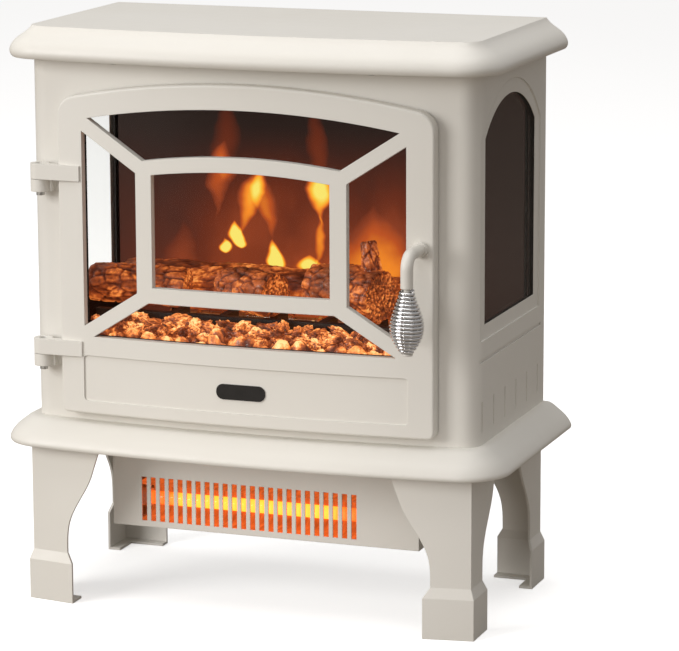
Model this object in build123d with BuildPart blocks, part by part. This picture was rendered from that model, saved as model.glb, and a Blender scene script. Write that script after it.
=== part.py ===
from build123d import *
import math
import os

os.makedirs("parts", exist_ok=True)

# ---------------------------------------------------------------- driving sizes (mm)
# X runs across the stove, the front looks along -Y, Z is up and 0 is the floor.

# overall
stove_height = 568.0
body_half_width = 228.0
body_side_depth = 218.0
back_y = 145.5
bow_radius = 1800.0
corner_radius = 20.0

# height levels
deck_top = 184.0
sheet = 2.0
thin_sheet = 1.5
skin_gap = 0.4

# lid
lid_drop = 30.0
lid_lip_out = 22.0
lid_front_step = 4.0
lid_pan_thickness = 1.5
lid_screw_head_radius = 3.0
lid_screw_head_height = 2.0

# plinth
plinth_side_step = 3.0
plinth_front_step = 5.0
plinth_drop = 26.0
plinth_lip_out = 26.5

# body shell
flange_width = 12.0
rear_recess = 8.0

# door
door_half_width = 191.0
door_bottom = 193.0
door_apex = 522.0
door_arch_radius = 850.0
door_corner_radius = 20.0
door_foot_radius = 6.0
door_thickness = 12.0
door_gap = 1.5
door_bevel = 2.5
window_half_width = 164.5
window_bottom = 270.0
window_apex = 498.0
bar_width = 16.5
diagonal_width = 14.0
centre_half_width = 90.5
centre_bottom = 322.5
centre_apex = 438.5
centre_arch_radius = 640.0
recess_half_width = 166.0
recess_bottom = 206.0
recess_top = 251.0
recess_depth = 1.6
glass_thickness = 3.0
glass_rebate = 5.0
gasket_thickness = 1.2
body_opening_margin = 3.5

# door hinges
pin_x = -212.0
pin_radius = 4.0
pin_clearance = 0.08
knuckle_radius = 9.3
upper_lug_bottom = 409.0
lower_lug_bottom = 237.0
lug_height = 12.0
strap_height = 15.0
strap_lift = 0.4
strap_reach = 24.0
strap_plate = 4.4
pin_tail = 4.0

# handle
handle_x = 178.0
handle_z = 375.0
handle_reach = 39.0
handle_rod_radius = 5.9
handle_bend = 13.0
handle_foot_radius = 7.6
grip_top = 345.0
grip_length = 61.0
grip_turns = 17
grip_wire_radius = 1.6
grip_core_radius = 3.0
grip_end_radius = 5.6
grip_belly_radius = 14.75
handle_tip = 2.0

# side windows
side_window_setback = 112.0
side_window_half = 80.0
side_window_bottom = 298.0
side_window_spring = 474.0
side_window_apex = 508.0
side_rim_margin = 14.0
side_rim_depth = 1.5
side_glass_thickness = 4.0
side_glass_lap = 3.5
groove_count = 6
groove_pitch = 36.0
groove_width = 3.0
groove_top = 226.0
groove_bottom = 196.0
line_height = 265.0

# legs
leg_corner_x = 230.6
leg_span = 234.0
leg_sheet = 2.5
leg_turn = 9.0
leg_top_width = 78.0
leg_ankle_width = 39.0
leg_foot_width = 49.0
foot_height = 40.0
ankle_height = 50.0
foot_flare = 3.5
leg_side_foot = 43.0
leg_floor_tab = 11.0
leg_top_plate = 42.0

# radiant heater
heater_half_width = 160.0
heater_front_setback = 187.0
heater_depth = 95.0
heater_bottom = 70.0
slot_count = 24
slot_pitch = 9.57
slot_width = 5.4
slot_bottom = 76.0
slot_top = 120.5
slot_shift = -16.5
tube_z = 93.5
tube_setback = 26.0
tube_radius = 6.5
tube_wall = 1.2
tube_half_length = 122.0
filament_radius = 2.2
reflector_radius = 20.0
reflector_half_length = 118.0
cap_radius = 9.0
cap_length = 22.0
cap_grip = 9.0

# firebox
screen_setback = 30.0
screen_thickness = 3.0
screen_half_width = 216.0
ember_top = 268.0
ember_front_lift = 8.0
tray_bottom = 232.0
tray_half_width = 196.0
tray_front_setback = 206.0
tray_back_setback = 80.0
spindle_setback = 58.0
spindle_z = 262.0
spindle_radius = 3.0
spindle_half_length = 150.0
strip_reach = 12.0
strip_count = 10

# rear controls
bezel_x = 132.0
bezel_z = 470.0
bezel_width = 128.0
bezel_height = 34.0
bezel_thickness = 2.5
button_count = 4
button_radius = 6.0
button_pitch = 20.0
button_proud = 2.2
button_travel = 1.2
button_clearance = 0.35
rocker_width = 13.0
rocker_height = 19.0
rocker_axle_radius = 1.5

# fasteners
screw_radius = 2.0
screw_head_radius = 4.0
screw_head_height = 2.2

# door catch and its strike
catch_x = 181.0
catch_z = 300.0
catch_width = 8.0
catch_height = 28.0
catch_depth = 12.0
strike_width = 7.0
strike_height = 26.0
strike_thickness = 0.9
handle_counterbore = 4.5
recess_outline_radius = 4.0

# back wall, levelling bolts and badge
vent_rows = 7
vent_columns = 3
vent_pitch = 14.0
vent_length = 90.0
vent_height = 4.5
gland_x = -165.0
gland_z = 214.0
gland_radius = 7.0
bolt_inset = 26.0
badge_width = 50.0
badge_height = 15.0
badge_thickness = 1.2
badge_z = 227.0

# ember bed, grate and flame drive
tray_wall_height = 12.0
light_height = 3.0
lump_columns = 17
lump_rows = 5
grate_height = 15.0
bracket_gap = 0.5
bracket_width = 18.0
motor_shaft_radius = 1.5

# boards, switch travel and heater coil
board_thickness = 1.6
rocker_swing = 8.0
points_per_turn = 12

# ---------------------------------------------------------------- derived positions

corner_y = back_y - body_side_depth
bow_sag = bow_radius - math.sqrt(bow_radius**2 - body_half_width**2)
front_y = corner_y - bow_sag
bow_axis_y = front_y + bow_radius
deck_bottom = deck_top - sheet
lid_bottom = stove_height - lid_drop
body_top = lid_bottom
rear_flange_y = back_y - rear_recess - sheet
rear_panel_back = back_y - rear_recess
screen_y = back_y - screen_setback
side_window_centre = back_y - side_window_setback
leg_front_y = back_y - leg_span
heater_front_y = back_y - heater_front_setback
heater_back_y = heater_front_y + heater_depth
tray_front_y = back_y - tray_front_setback
tray_back_y = back_y - tray_back_setback
spindle_y = back_y - spindle_setback
door_back_reach = door_gap
door_front_reach = door_gap + door_thickness
window_floor_reach = door_back_reach + gasket_thickness + glass_thickness


def bow_y(x, reach=0.0):
    """Y of the bowed front at x, a radial distance reach in front of the body."""
    return bow_axis_y - math.sqrt((bow_radius + reach) ** 2 - x**2)


def arch_z(x, apex, radius):
    return apex - radius + math.sqrt(radius**2 - x**2)


def plan_face(half_width, reach, back, radius):
    """Flat-backed, bow-fronted plan with rounded front corners."""
    side_y = bow_y(half_width, reach)
    with BuildSketch() as plan:
        with BuildLine():
            Polyline(
                (-half_width, side_y),
                (-half_width, back),
                (half_width, back),
                (half_width, side_y),
            )
            ThreePointArc((half_width, side_y), (0, bow_y(0, reach)), (-half_width, side_y))
        make_face()
        fillet(plan.vertices().filter_by_position(Axis.Y, side_y - 1, side_y + 1), radius)
    return plan.sketch


def arch_face(centre, half_width, bottom, spring, apex):
    with BuildSketch() as arch:
        with BuildLine():
            Polyline(
                (centre - half_width, spring),
                (centre - half_width, bottom),
                (centre + half_width, bottom),
                (centre + half_width, spring),
            )
            ThreePointArc((centre + half_width, spring), (centre, apex), (centre - half_width, spring))
        make_face()
    return arch.sketch


def window_face(margin):
    """The door window's outline, grown by margin."""
    half_width = window_half_width + margin
    apex = window_apex + margin
    spring = arch_z(half_width, apex, door_arch_radius)
    return arch_face(0, half_width, window_bottom - margin, spring, apex)


def side_window_face(margin):
    return arch_face(
        side_window_centre,
        side_window_half + margin,
        side_window_bottom - margin,
        side_window_spring,
        side_window_apex + margin,
    )


def bow_band(inner_reach, outer_reach, half_width):
    """Plan of a band that follows the bow between two radial reaches."""
    with BuildSketch() as band:
        with Locations((0, bow_axis_y)):
            Circle(bow_radius + outer_reach)
            Circle(bow_radius + inner_reach, mode=Mode.SUBTRACT)
        with Locations((0, front_y)):
            Rectangle(2 * half_width, 4 * bow_sag + 60, mode=Mode.INTERSECT)
    return band.sketch


def screw_set(spots, direction, length, head_radius=screw_head_radius, head_height=screw_head_height):
    """Pan-head screws whose heads sit on spots and whose shanks run along direction."""
    with BuildPart() as screws:
        for spot in spots:
            seat = Plane(origin=spot, z_dir=direction)
            with BuildSketch(seat):
                Circle(screw_radius)
            extrude(amount=length)
            with BuildSketch(seat):
                Circle(head_radius)
            extrude(amount=-head_height)
    return screws.part


def offset_profile(points, distance):
    """Points moved square to the line through their neighbours, to the inside of the moulding."""
    moved = []
    for index, point in enumerate(points):
        before = points[max(index - 1, 0)]
        after = points[min(index + 1, len(points) - 1)]
        run = math.dist(before, after)
        along = ((after[0] - before[0]) / run, (after[1] - before[1]) / run)
        moved.append((point[0] - along[1] * distance, point[1] + along[0] * distance))
    return moved


def moulding(half_width, reach, back, radius, top, profile, thickness):
    """Pressed cover: a flat deck with an ogee edge swept round the front and both sides."""
    side_y = bow_y(half_width, reach)
    path_line = Wire(plan_face(half_width, reach, back, radius).face().outer_wire().edges())
    back_edge = path_line.edges().sort_by(Axis.Y)[-1]
    path_edges = [edge for edge in path_line.edges() if edge.center().Y < back_edge.center().Y - 0.01]
    path = Wire(path_edges)
    inner = offset_profile(profile, thickness)
    with BuildPart() as cover:
        with BuildSketch(Plane((half_width, back, top), x_dir=(1, 0, 0), z_dir=(0, -1, 0))):
            with BuildLine():
                Spline([(out, -drop) for out, drop in profile])
                Line((profile[-1][0], -profile[-1][1]), (inner[-1][0], -inner[-1][1]))
                Spline([(out, -drop) for out, drop in reversed(inner)])
                Line((inner[0][0], -inner[0][1]), (profile[0][0], -profile[0][1]))
            make_face()
        sweep(path=path.moved(Location((0, 0, top))), transition=Transition.ROUND)
        with BuildSketch(Plane.XY.offset(top - thickness)):
            add(plan_face(half_width, reach, back, radius))
        extrude(amount=thickness)
    return cover.part


# ---------------------------------------------------------------- lid

lid_profile = [
    (0.0, 0.0),
    (0.35 * lid_lip_out, 0.25 * lid_drop),
    (0.70 * lid_lip_out, 0.43 * lid_drop),
    (0.92 * lid_lip_out, 0.62 * lid_drop),
    (lid_lip_out, 0.82 * lid_drop),
    (0.87 * lid_lip_out, lid_drop),
]
lid_pan_margin = 0.87 * lid_lip_out - 2 * sheet

lid = moulding(body_half_width, lid_front_step, back_y, corner_radius, stove_height, lid_profile, sheet)
with BuildPart() as top_plate:
    add(lid)
    with BuildSketch(Plane.XY.offset(stove_height - sheet)):
        with Locations((0, back_y - sheet / 2)):
            Rectangle(2 * body_half_width, sheet)
    extrude(amount=-(lid_drop - sheet - lid_pan_thickness))
top_plate.part.label = "top_plate"
export_step(top_plate.part, "parts/top_plate.step")


lid_screw_out = 0.5 * (lid_front_step + lid_pan_margin)
lid_screw_spots = [
    (-130, bow_y(130, lid_screw_out), lid_bottom),
    (130, bow_y(130, lid_screw_out), lid_bottom),
    (-body_half_width - lid_screw_out, back_y - 18, lid_bottom),
    (body_half_width + lid_screw_out, back_y - 18, lid_bottom),
]
with BuildPart() as top_pan:
    with BuildSketch(Plane.XY.offset(lid_bottom)):
        pan_radius = corner_radius + lid_pan_margin
        add(
            plan_face(
                body_half_width + lid_pan_margin,
                lid_front_step + lid_pan_margin,
                back_y - sheet,
                pan_radius,
            )
        )
        with Locations(*[(spot[0], spot[1]) for spot in lid_screw_spots]):
            Circle(screw_radius, mode=Mode.SUBTRACT)
    extrude(amount=lid_pan_thickness)
top_pan.part.label = "top_pan"
export_step(top_pan.part, "parts/top_pan.step")

lid_screws = screw_set(lid_screw_spots, (0, 0, 1), 8, lid_screw_head_radius, lid_screw_head_height)
with BuildPart() as top_screws:
    add(lid_screws)
top_screws.part.label = "top_screws"
export_step(top_screws.part, "parts/top_screws.step")

# ---------------------------------------------------------------- plinth

plinth_profile = [
    (0.0, 0.0),
    (0.21 * plinth_lip_out, 0.05 * plinth_drop),
    (0.42 * plinth_lip_out, 0.20 * plinth_drop),
    (0.72 * plinth_lip_out, 0.44 * plinth_drop),
    (0.94 * plinth_lip_out, 0.72 * plinth_drop),
    (plinth_lip_out, 0.90 * plinth_drop),
    (0.96 * plinth_lip_out, plinth_drop),
]
plinth_half_width = body_half_width + plinth_side_step
plinth_cover = moulding(
    plinth_half_width, plinth_front_step, back_y, corner_radius, deck_top, plinth_profile, sheet
)
with BuildPart() as plinth:
    add(plinth_cover)
    with BuildSketch(Plane.XY.offset(deck_bottom)):
        with Locations((0, back_y - sheet / 2)):
            Rectangle(2 * plinth_half_width, sheet)
    extrude(amount=-(plinth_drop - sheet))
plinth.part.label = "plinth"
export_step(plinth.part, "parts/plinth.step")

# ---------------------------------------------------------------- body shell


rear_half_width = body_half_width - sheet - skin_gap
rear_low = deck_top + sheet + skin_gap
rear_high = body_top - sheet - skin_gap
rear_screw_x = body_half_width - sheet - flange_width / 2
rear_screw_spots = []
for side in (-1, 1):
    for height in (rear_low + 20, (rear_low + rear_high) / 2, rear_high - 20):
        rear_screw_spots.append((side * rear_screw_x, rear_panel_back, height))

with BuildPart() as body_shell:
    with BuildSketch(Plane.XY.offset(deck_top)):
        add(plan_face(body_half_width, 0, back_y, corner_radius))
    extrude(amount=body_top - deck_top)
    with BuildSketch(Plane.XY.offset(deck_top + sheet)):
        add(plan_face(body_half_width - sheet, -sheet, back_y, corner_radius - sheet))
    extrude(amount=body_top - deck_top - 2 * sheet, mode=Mode.SUBTRACT)
    with BuildSketch(Plane.XY.offset(deck_top)):
        inset = sheet + flange_width
        add(plan_face(body_half_width - inset, -inset, back_y + 1, corner_radius - inset))
    extrude(amount=body_top - deck_top, mode=Mode.SUBTRACT)
    with BuildSketch(Plane.XZ.offset(-rear_flange_y)):
        for side in (-1, 1):
            flange_x = side * (body_half_width - sheet - flange_width / 2)
            with Locations((flange_x, (deck_top + body_top) / 2)):
                Rectangle(flange_width, body_top - deck_top - 2 * sheet)
        with Locations(*[(spot[0], spot[2]) for spot in rear_screw_spots]):
            Circle(screw_radius, mode=Mode.SUBTRACT)
    extrude(amount=sheet)
    with BuildSketch(Plane.XZ.offset(-bow_y(door_half_width) - 10)):
        add(window_face(body_opening_margin))
    extrude(amount=4 * bow_sag, both=True, mode=Mode.SUBTRACT)
    with BuildSketch(Plane.XZ.offset(-bow_y(catch_x))):
        with Locations((catch_x, catch_z)):
            Rectangle(catch_width + 2 * skin_gap, catch_height + 2 * skin_gap)
    extrude(amount=6, both=True, mode=Mode.SUBTRACT)
    for side in (-1, 1):
        with BuildSketch(Plane.YZ.offset(side * (body_half_width - 4 * sheet))):
            add(side_window_face(0))
        extrude(amount=side * 8 * sheet, mode=Mode.SUBTRACT)
        with BuildSketch(Plane.YZ.offset(side * (body_half_width - side_rim_depth))):
            add(side_window_face(side_rim_margin))
            with Locations((side_window_centre, line_height)):
                Rectangle(2 * side_window_half + 2 * side_rim_margin + 12, groove_width)
            for index in range(groove_count):
                groove_y = side_window_centre + (index - (groove_count - 1) / 2) * groove_pitch
                with Locations((groove_y, (groove_top + groove_bottom) / 2)):
                    SlotOverall(groove_top - groove_bottom, groove_width, rotation=90)
        extrude(amount=side * side_rim_depth, mode=Mode.SUBTRACT)
body_shell.part.label = "body_shell"
export_step(body_shell.part, "parts/body_shell.step")

# ---------------------------------------------------------------- side windows and dark lining

with BuildPart() as side_glass:
    for side in (-1, 1):
        with BuildSketch(Plane.YZ.offset(side * (body_half_width - sheet))):
            add(side_window_face(side_glass_lap))
        extrude(amount=-side * side_glass_thickness)
side_glass.part.label = "side_glass"
export_step(side_glass.part, "parts/side_glass.step")

liner_x = body_half_width - sheet - side_glass_thickness
liner_front_y = corner_y + corner_radius
liner_back_y = rear_flange_y - sheet - 1
with BuildPart() as side_liners:
    for side in (-1, 1):
        with BuildSketch(Plane.YZ.offset(side * liner_x)):
            with Locations(((liner_front_y + liner_back_y) / 2, (deck_top + body_top) / 2)):
                Rectangle(liner_back_y - liner_front_y, body_top - deck_top - 2 * sheet - 2)
            add(side_window_face(1), mode=Mode.SUBTRACT)
        extrude(amount=-side * thin_sheet)
side_liners.part.label = "side_liners"
export_step(side_liners.part, "parts/side_liners.step")

# ---------------------------------------------------------------- rear panel


with BuildPart() as rear_panel:
    with BuildSketch(Plane.XZ.offset(-rear_panel_back)):
        with Locations((0, (rear_low + rear_high) / 2)):
            Rectangle(2 * rear_half_width, rear_high - rear_low)
        with Locations((0, (rear_low + rear_high) / 2 - 20)):
            with GridLocations(vent_length + 30, vent_pitch, vent_columns, vent_rows):
                SlotOverall(vent_length, vent_height, mode=Mode.SUBTRACT)
        with Locations((gland_x, gland_z)):
            Circle(gland_radius, mode=Mode.SUBTRACT)
        with Locations((bezel_x, bezel_z)):
            Rectangle(bezel_width - 16, bezel_height - 10, mode=Mode.SUBTRACT)
        with Locations(*[(spot[0], spot[2]) for spot in rear_screw_spots]):
            Circle(screw_radius, mode=Mode.SUBTRACT)
    extrude(amount=sheet)
rear_panel.part.label = "rear_panel"
export_step(rear_panel.part, "parts/rear_panel.step")

with BuildPart() as rear_screws:
    add(screw_set(rear_screw_spots, (0, -1, 0), 2 * sheet))
rear_screws.part.label = "rear_screws"
export_step(rear_screws.part, "parts/rear_screws.step")

with BuildPart() as cord_gland:
    with BuildSketch(Plane.XZ.offset(-rear_panel_back)):
        with Locations((gland_x, gland_z)):
            Circle(gland_radius + 3)
            Circle(gland_radius - 2.5, mode=Mode.SUBTRACT)
    extrude(amount=-3)
    with BuildSketch(Plane.XZ.offset(-rear_panel_back)):
        with Locations((gland_x, gland_z)):
            Circle(gland_radius)
            Circle(gland_radius - 2.5, mode=Mode.SUBTRACT)
    extrude(amount=sheet)
cord_gland.part.label = "cord_gland"
export_step(cord_gland.part, "parts/cord_gland.step")

# ---------------------------------------------------------------- legs

leg_length = deck_bottom
leg_inner_top = leg_length - plinth_drop + sheet


def leg_silhouette(top_width, ankle_width, foot_width, flare, outset):
    """Leg seen square to one face: 0 is its outer edge at the floor and +u points inwards."""
    with BuildSketch() as outline:
        with BuildLine():
            Polyline(
                (outset + flare, leg_length),
                (outset + flare, ankle_height),
                (outset, foot_height),
                (outset, 0),
                (foot_width, 0),
                (foot_width, foot_height),
                (flare + ankle_width, ankle_height),
            )
            Spline(
                (flare + ankle_width, ankle_height),
                (flare + ankle_width + 3, ankle_height + 32),
                (flare + top_width - 13, leg_inner_top - 34),
                (flare + top_width, leg_inner_top),
                tangents=((0, 1), (0.45, 1)),
            )
            Polyline(
                (flare + top_width, leg_inner_top),
                (flare + top_width, leg_length),
                (outset + flare, leg_length),
            )
        make_face()
    return outline.sketch


def leg_block(outset, reach, turn):
    """Solid leg from both silhouettes, standing at the origin with its corner towards -X and -Y."""
    front_face = leg_silhouette(leg_top_width, leg_ankle_width, leg_foot_width, foot_flare, outset)
    side_face = leg_silhouette(leg_top_width, leg_ankle_width - 4, leg_side_foot, foot_flare, outset)
    slant = Vector(math.cos(math.radians(turn)), -math.sin(math.radians(turn)), 0)
    with BuildPart() as block:
        with BuildSketch(Plane((0, -40, 0), x_dir=(1, 0, 0), z_dir=(0, -1, 0))):
            add(front_face)
        extrude(amount=-200)
        with BuildSketch(Plane((0, 0, 0), x_dir=(0, 1, 0), z_dir=(1, 0, 0))):
            add(side_face)
        extrude(amount=reach, dir=slant, mode=Mode.INTERSECT)
    return block.part


def leg_core(turn):
    """Hollow inside a leg: everything behind its two sheet faces, down to the floor tab."""
    slant = Vector(math.cos(math.radians(turn)), -math.sin(math.radians(turn)), 0)
    far = 240.0
    with BuildSketch() as inside:
        with BuildLine():
            Polyline(
                (leg_sheet + foot_flare, leg_length - leg_sheet),
                (leg_sheet + foot_flare, ankle_height - 1),
                (leg_sheet, foot_height - 1),
                (leg_sheet, leg_sheet),
                (far, leg_sheet),
                (far, leg_length - leg_sheet),
                (leg_sheet + foot_flare, leg_length - leg_sheet),
            )
        make_face()
    with BuildPart() as core:
        with BuildSketch(Plane((0, -60, 0), x_dir=(1, 0, 0), z_dir=(0, -1, 0))):
            add(inside.sketch)
        extrude(amount=-300)
        with BuildSketch(Plane((0, 0, 0), x_dir=(0, 1, 0), z_dir=(1, 0, 0))):
            add(inside.sketch)
        extrude(amount=far, dir=slant, mode=Mode.INTERSECT)
        tab = leg_sheet + leg_floor_tab
        plate = leg_sheet + foot_flare + leg_top_plate
        with BuildSketch(Plane.XY.offset(leg_length - leg_sheet - 1)):
            with BuildLine():
                Polyline((plate, -60), (far, -60), (far, far), (plate, far), (plate, -60))
            make_face()
        extrude(amount=leg_sheet + 2)
        with BuildSketch(Plane.XY.offset(-1)):
            with BuildLine():
                Polyline((tab, tab), (far, tab), (far, far), (tab, far), (tab, tab))
            make_face()
        extrude(amount=leg_sheet + 2)
    return core.part


leg_places = (
    ("leg_front_left", -1, 1, leg_front_y, leg_turn),
    ("leg_front_right", 1, 1, leg_front_y, leg_turn),
    ("leg_back_left", -1, -1, back_y, 0.0),
    ("leg_back_right", 1, -1, back_y, 0.0),
)
leg_bolt_spots = []
with BuildPart() as plinth_skirt_space:
    with BuildSketch(Plane.XY.offset(deck_top - plinth_drop - 1)):
        with Locations((0, (front_y + back_y) / 2)):
            Rectangle(4 * body_half_width, 4 * body_side_depth)
        inset = sheet + skin_gap
        reach = plinth_front_step - inset
        skirt_back = back_y - sheet - skin_gap
        add(
            plan_face(plinth_half_width - inset, reach, skirt_back, corner_radius - inset),
            mode=Mode.SUBTRACT,
        )
    extrude(amount=plinth_drop + 2)
for name, side, facing, corner, turn in leg_places:
    with BuildPart() as leg:
        add(leg_block(0, 160, turn))
        add(leg_core(turn), mode=Mode.SUBTRACT)
    placed = leg.part
    if side > 0:
        placed = placed.mirror(Plane.YZ)
    if facing < 0:
        placed = placed.mirror(Plane.XZ)
    placed = placed.moved(Location((side * leg_corner_x, corner, 0))) - plinth_skirt_space.part
    placed.label = name
    export_step(placed, "parts/" + name + ".step")
    for step in ((bolt_inset, 14), (14, bolt_inset + 18)):
        spot_x = side * (leg_corner_x - step[0])
        spot_y = corner + facing * step[1]
        leg_bolt_spots.append((spot_x, spot_y, leg_length - leg_sheet))
with BuildPart() as leg_bolts:
    for spot in leg_bolt_spots:
        with BuildSketch(Plane(origin=spot, z_dir=(0, 0, -1))):
            RegularPolygon(screw_head_radius, 6)
        extrude(amount=2 * screw_head_height)
leg_bolts.part.label = "leg_bolts"
export_step(leg_bolts.part, "parts/leg_bolts.step")

# ---------------------------------------------------------------- door

door_spring = arch_z(door_half_width, door_apex, door_arch_radius)
window_corner_z = arch_z(window_half_width, window_apex, door_arch_radius)
centre_corner_z = arch_z(centre_half_width, centre_apex, centre_arch_radius)


def bar_between(start, end, width):
    """Straight bar in the door's plane with squared ends past both points."""
    length = math.dist(start, end)
    angle = math.degrees(math.atan2(end[1] - start[1], end[0] - start[0]))
    middle = ((start[0] + end[0]) / 2, (start[1] + end[1]) / 2)
    with BuildSketch() as bar:
        with Locations(middle):
            Rectangle(length + width / 2, width, rotation=angle)
    return bar.sketch


outer_centre_half = centre_half_width + bar_width
outer_centre_bottom = centre_bottom - bar_width + 1.5
outer_centre_apex = centre_apex + bar_width - 2
outer_centre_spring = arch_z(outer_centre_half, outer_centre_apex, centre_arch_radius)

with BuildSketch() as lattice:
    add(arch_face(0, outer_centre_half, outer_centre_bottom, outer_centre_spring, outer_centre_apex))
    for side in (-1, 1):
        upper_start = (side * (outer_centre_half - 7), outer_centre_spring - 7)
        upper_end = (side * window_half_width, window_corner_z - 3)
        lower_start = (side * (outer_centre_half - 7), outer_centre_bottom + 5)
        lower_end = (side * window_half_width, window_bottom + 2)
        add(bar_between(upper_start, upper_end, diagonal_width))
        add(bar_between(lower_start, lower_end, diagonal_width))
    add(arch_face(0, centre_half_width, centre_bottom, centre_corner_z, centre_apex), mode=Mode.SUBTRACT)

with BuildSketch() as door_outline:
    add(arch_face(0, door_half_width, door_bottom, door_spring, door_apex))
    fillet(door_outline.vertices().group_by(Axis.Y)[-1], door_corner_radius)
    fillet(door_outline.vertices().group_by(Axis.Y)[0], door_foot_radius)

with BuildSketch() as door_window:
    add(window_face(0))
    add(lattice.sketch, mode=Mode.SUBTRACT)

door_plane = Plane.XZ.offset(-bow_y(door_half_width) - 60)
door_sweep = 4 * bow_sag + 120


def bow_plate(inner_reach, outer_reach, outline):
    """Plate that follows the bow between two reaches, cut to an outline in the door's plane."""
    low = outline.bounding_box().min.Y - 5
    high = outline.bounding_box().max.Y + 5
    with BuildPart() as plate:
        with BuildSketch(Plane.XY.offset(low)):
            add(bow_band(inner_reach, outer_reach, body_half_width))
        extrude(amount=high - low)
        with BuildSketch(door_plane):
            add(outline)
        extrude(amount=door_sweep, mode=Mode.INTERSECT)
    return plate.part


def panel_face(x, z, width, height, radius):
    with BuildSketch() as panel:
        with Locations((x, z)):
            RectangleRounded(width, height, radius)
    return panel.sketch


door_blank = bow_plate(door_back_reach, door_front_reach, door_outline.sketch)
glass_pocket = bow_plate(door_back_reach - 1, window_floor_reach, window_face(glass_rebate))
recess_face = panel_face(
    0,
    (recess_bottom + recess_top) / 2,
    2 * recess_half_width,
    recess_top - recess_bottom,
    recess_outline_radius,
)
recess_tool = bow_plate(door_front_reach - recess_depth, door_front_reach + 1, recess_face)
strike_face = panel_face(catch_x, catch_z, strike_width, strike_height, 1)
handle_bore_radius = screw_radius + 0.2

with BuildPart() as door_frame:
    add(door_blank)
    front_skin = door_frame.faces().sort_by(Axis.Y)[0]
    fillet(front_skin.outer_wire().edges(), door_bevel)
    with BuildSketch(door_plane):
        add(door_window.sketch)
    extrude(amount=door_sweep, mode=Mode.SUBTRACT)
    add(glass_pocket, mode=Mode.SUBTRACT)
    add(recess_tool, mode=Mode.SUBTRACT)
    with BuildSketch(Plane.XZ.offset(-bow_y(handle_x, door_back_reach) - 2)):
        with Locations((handle_x, handle_z)):
            Circle(handle_bore_radius)
    extrude(amount=door_thickness + 6, mode=Mode.SUBTRACT)
    with BuildSketch(Plane.XZ.offset(-bow_y(handle_x, door_back_reach) - 2)):
        with Locations((handle_x, handle_z)):
            Circle(handle_counterbore)
    extrude(amount=2 + handle_counterbore, mode=Mode.SUBTRACT)
door_frame.part.label = "door_frame"
export_step(door_frame.part, "parts/door_frame.step")

with BuildPart() as door_glass:
    glass_face = window_face(glass_rebate - skin_gap)
    add(bow_plate(window_floor_reach - glass_thickness, window_floor_reach, glass_face))
door_glass.part.label = "door_glass"
export_step(door_glass.part, "parts/door_glass.step")

with BuildSketch() as gasket_face:
    add(window_face(glass_rebate - skin_gap))
    add(window_face(0), mode=Mode.SUBTRACT)
with BuildPart() as door_gasket:
    add(bow_plate(door_back_reach, door_back_reach + gasket_thickness, gasket_face.sketch))
door_gasket.part.label = "door_gasket"
export_step(door_gasket.part, "parts/door_gasket.step")

badge_face = panel_face(0, badge_z, badge_width, badge_height, badge_height / 2 - 0.5)
badge_seat = door_front_reach - recess_depth
with BuildPart() as badge:
    add(bow_plate(badge_seat, badge_seat + badge_thickness, badge_face))
badge.part.label = "badge"
export_step(badge.part, "parts/badge.step")

with BuildPart() as strike_plate:
    add(bow_plate(door_back_reach - strike_thickness, door_back_reach, strike_face))
strike_plate.part.label = "strike_plate"
export_step(strike_plate.part, "parts/strike_plate.step")

with BuildPart() as catch_magnet:
    add(bow_plate(-catch_depth, 0, panel_face(catch_x, catch_z, catch_width, catch_height, 1)))
catch_magnet.part.label = "catch_magnet"
export_step(catch_magnet.part, "parts/catch_magnet.step")

# ---------------------------------------------------------------- door hinges

pin_y = bow_y(door_half_width, door_front_reach) + knuckle_radius - strap_plate
strap_front_y = pin_y - knuckle_radius

lug_bottoms = (upper_lug_bottom, lower_lug_bottom)
with BuildPart() as hinge_lugs:
    for lug_bottom in lug_bottoms:
        with BuildSketch(Plane.XY.offset(lug_bottom)):
            with Locations((pin_x, pin_y)):
                Circle(knuckle_radius)
            with Locations((pin_x + 2, pin_y + knuckle_radius)):
                Rectangle(20, 2 * knuckle_radius)
            with Locations((pin_x + 3, pin_y + 12)):
                Rectangle(26, 10)
            with Locations((pin_x, pin_y)):
                Circle(pin_radius, mode=Mode.SUBTRACT)
            add(plan_face(body_half_width, 0, back_y, corner_radius), mode=Mode.SUBTRACT)
        extrude(amount=lug_height)
hinge_lugs.part.label = "hinge_lugs"
export_step(hinge_lugs.part, "parts/hinge_lugs.step")

arm_right = strap_reach - door_half_width
arm_mid_y = strap_front_y + knuckle_radius / 2
with BuildPart() as hinge_straps:
    for lug_bottom in lug_bottoms:
        with BuildSketch(Plane.XY.offset(lug_bottom + lug_height + strap_lift)):
            with Locations(((pin_x + arm_right) / 2, arm_mid_y)):
                Rectangle(arm_right - pin_x, knuckle_radius)
            with Locations((0, bow_axis_y)):
                Circle(bow_radius + door_front_reach, mode=Mode.SUBTRACT)
            with Locations((pin_x, pin_y)):
                Circle(knuckle_radius)
            with Locations(((pin_x - door_half_width) / 2, arm_mid_y)):
                Rectangle(abs(pin_x) - door_half_width, knuckle_radius)
            with Locations((pin_x, pin_y)):
                Circle(pin_radius + pin_clearance, mode=Mode.SUBTRACT)
        extrude(amount=strap_height)
hinge_straps.part.label = "hinge_straps"
export_step(hinge_straps.part, "parts/hinge_straps.step")

with BuildPart() as hinge_pins:
    for lug_bottom in lug_bottoms:
        with BuildSketch(Plane.XY.offset(lug_bottom - pin_tail)):
            with Locations((pin_x, pin_y)):
                Circle(pin_radius)
        extrude(amount=pin_tail + lug_height + strap_lift + strap_height - 1)
hinge_pins.part.label = "hinge_pins"
export_step(hinge_pins.part, "parts/hinge_pins.step")

# ---------------------------------------------------------------- handle

handle_root_y = bow_y(handle_x, door_front_reach)
grip_y = handle_root_y - handle_reach
grip_bottom = grip_top - grip_length
tip_z = grip_bottom - handle_tip
handle_screw_length = door_thickness - handle_counterbore + 8

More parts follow.
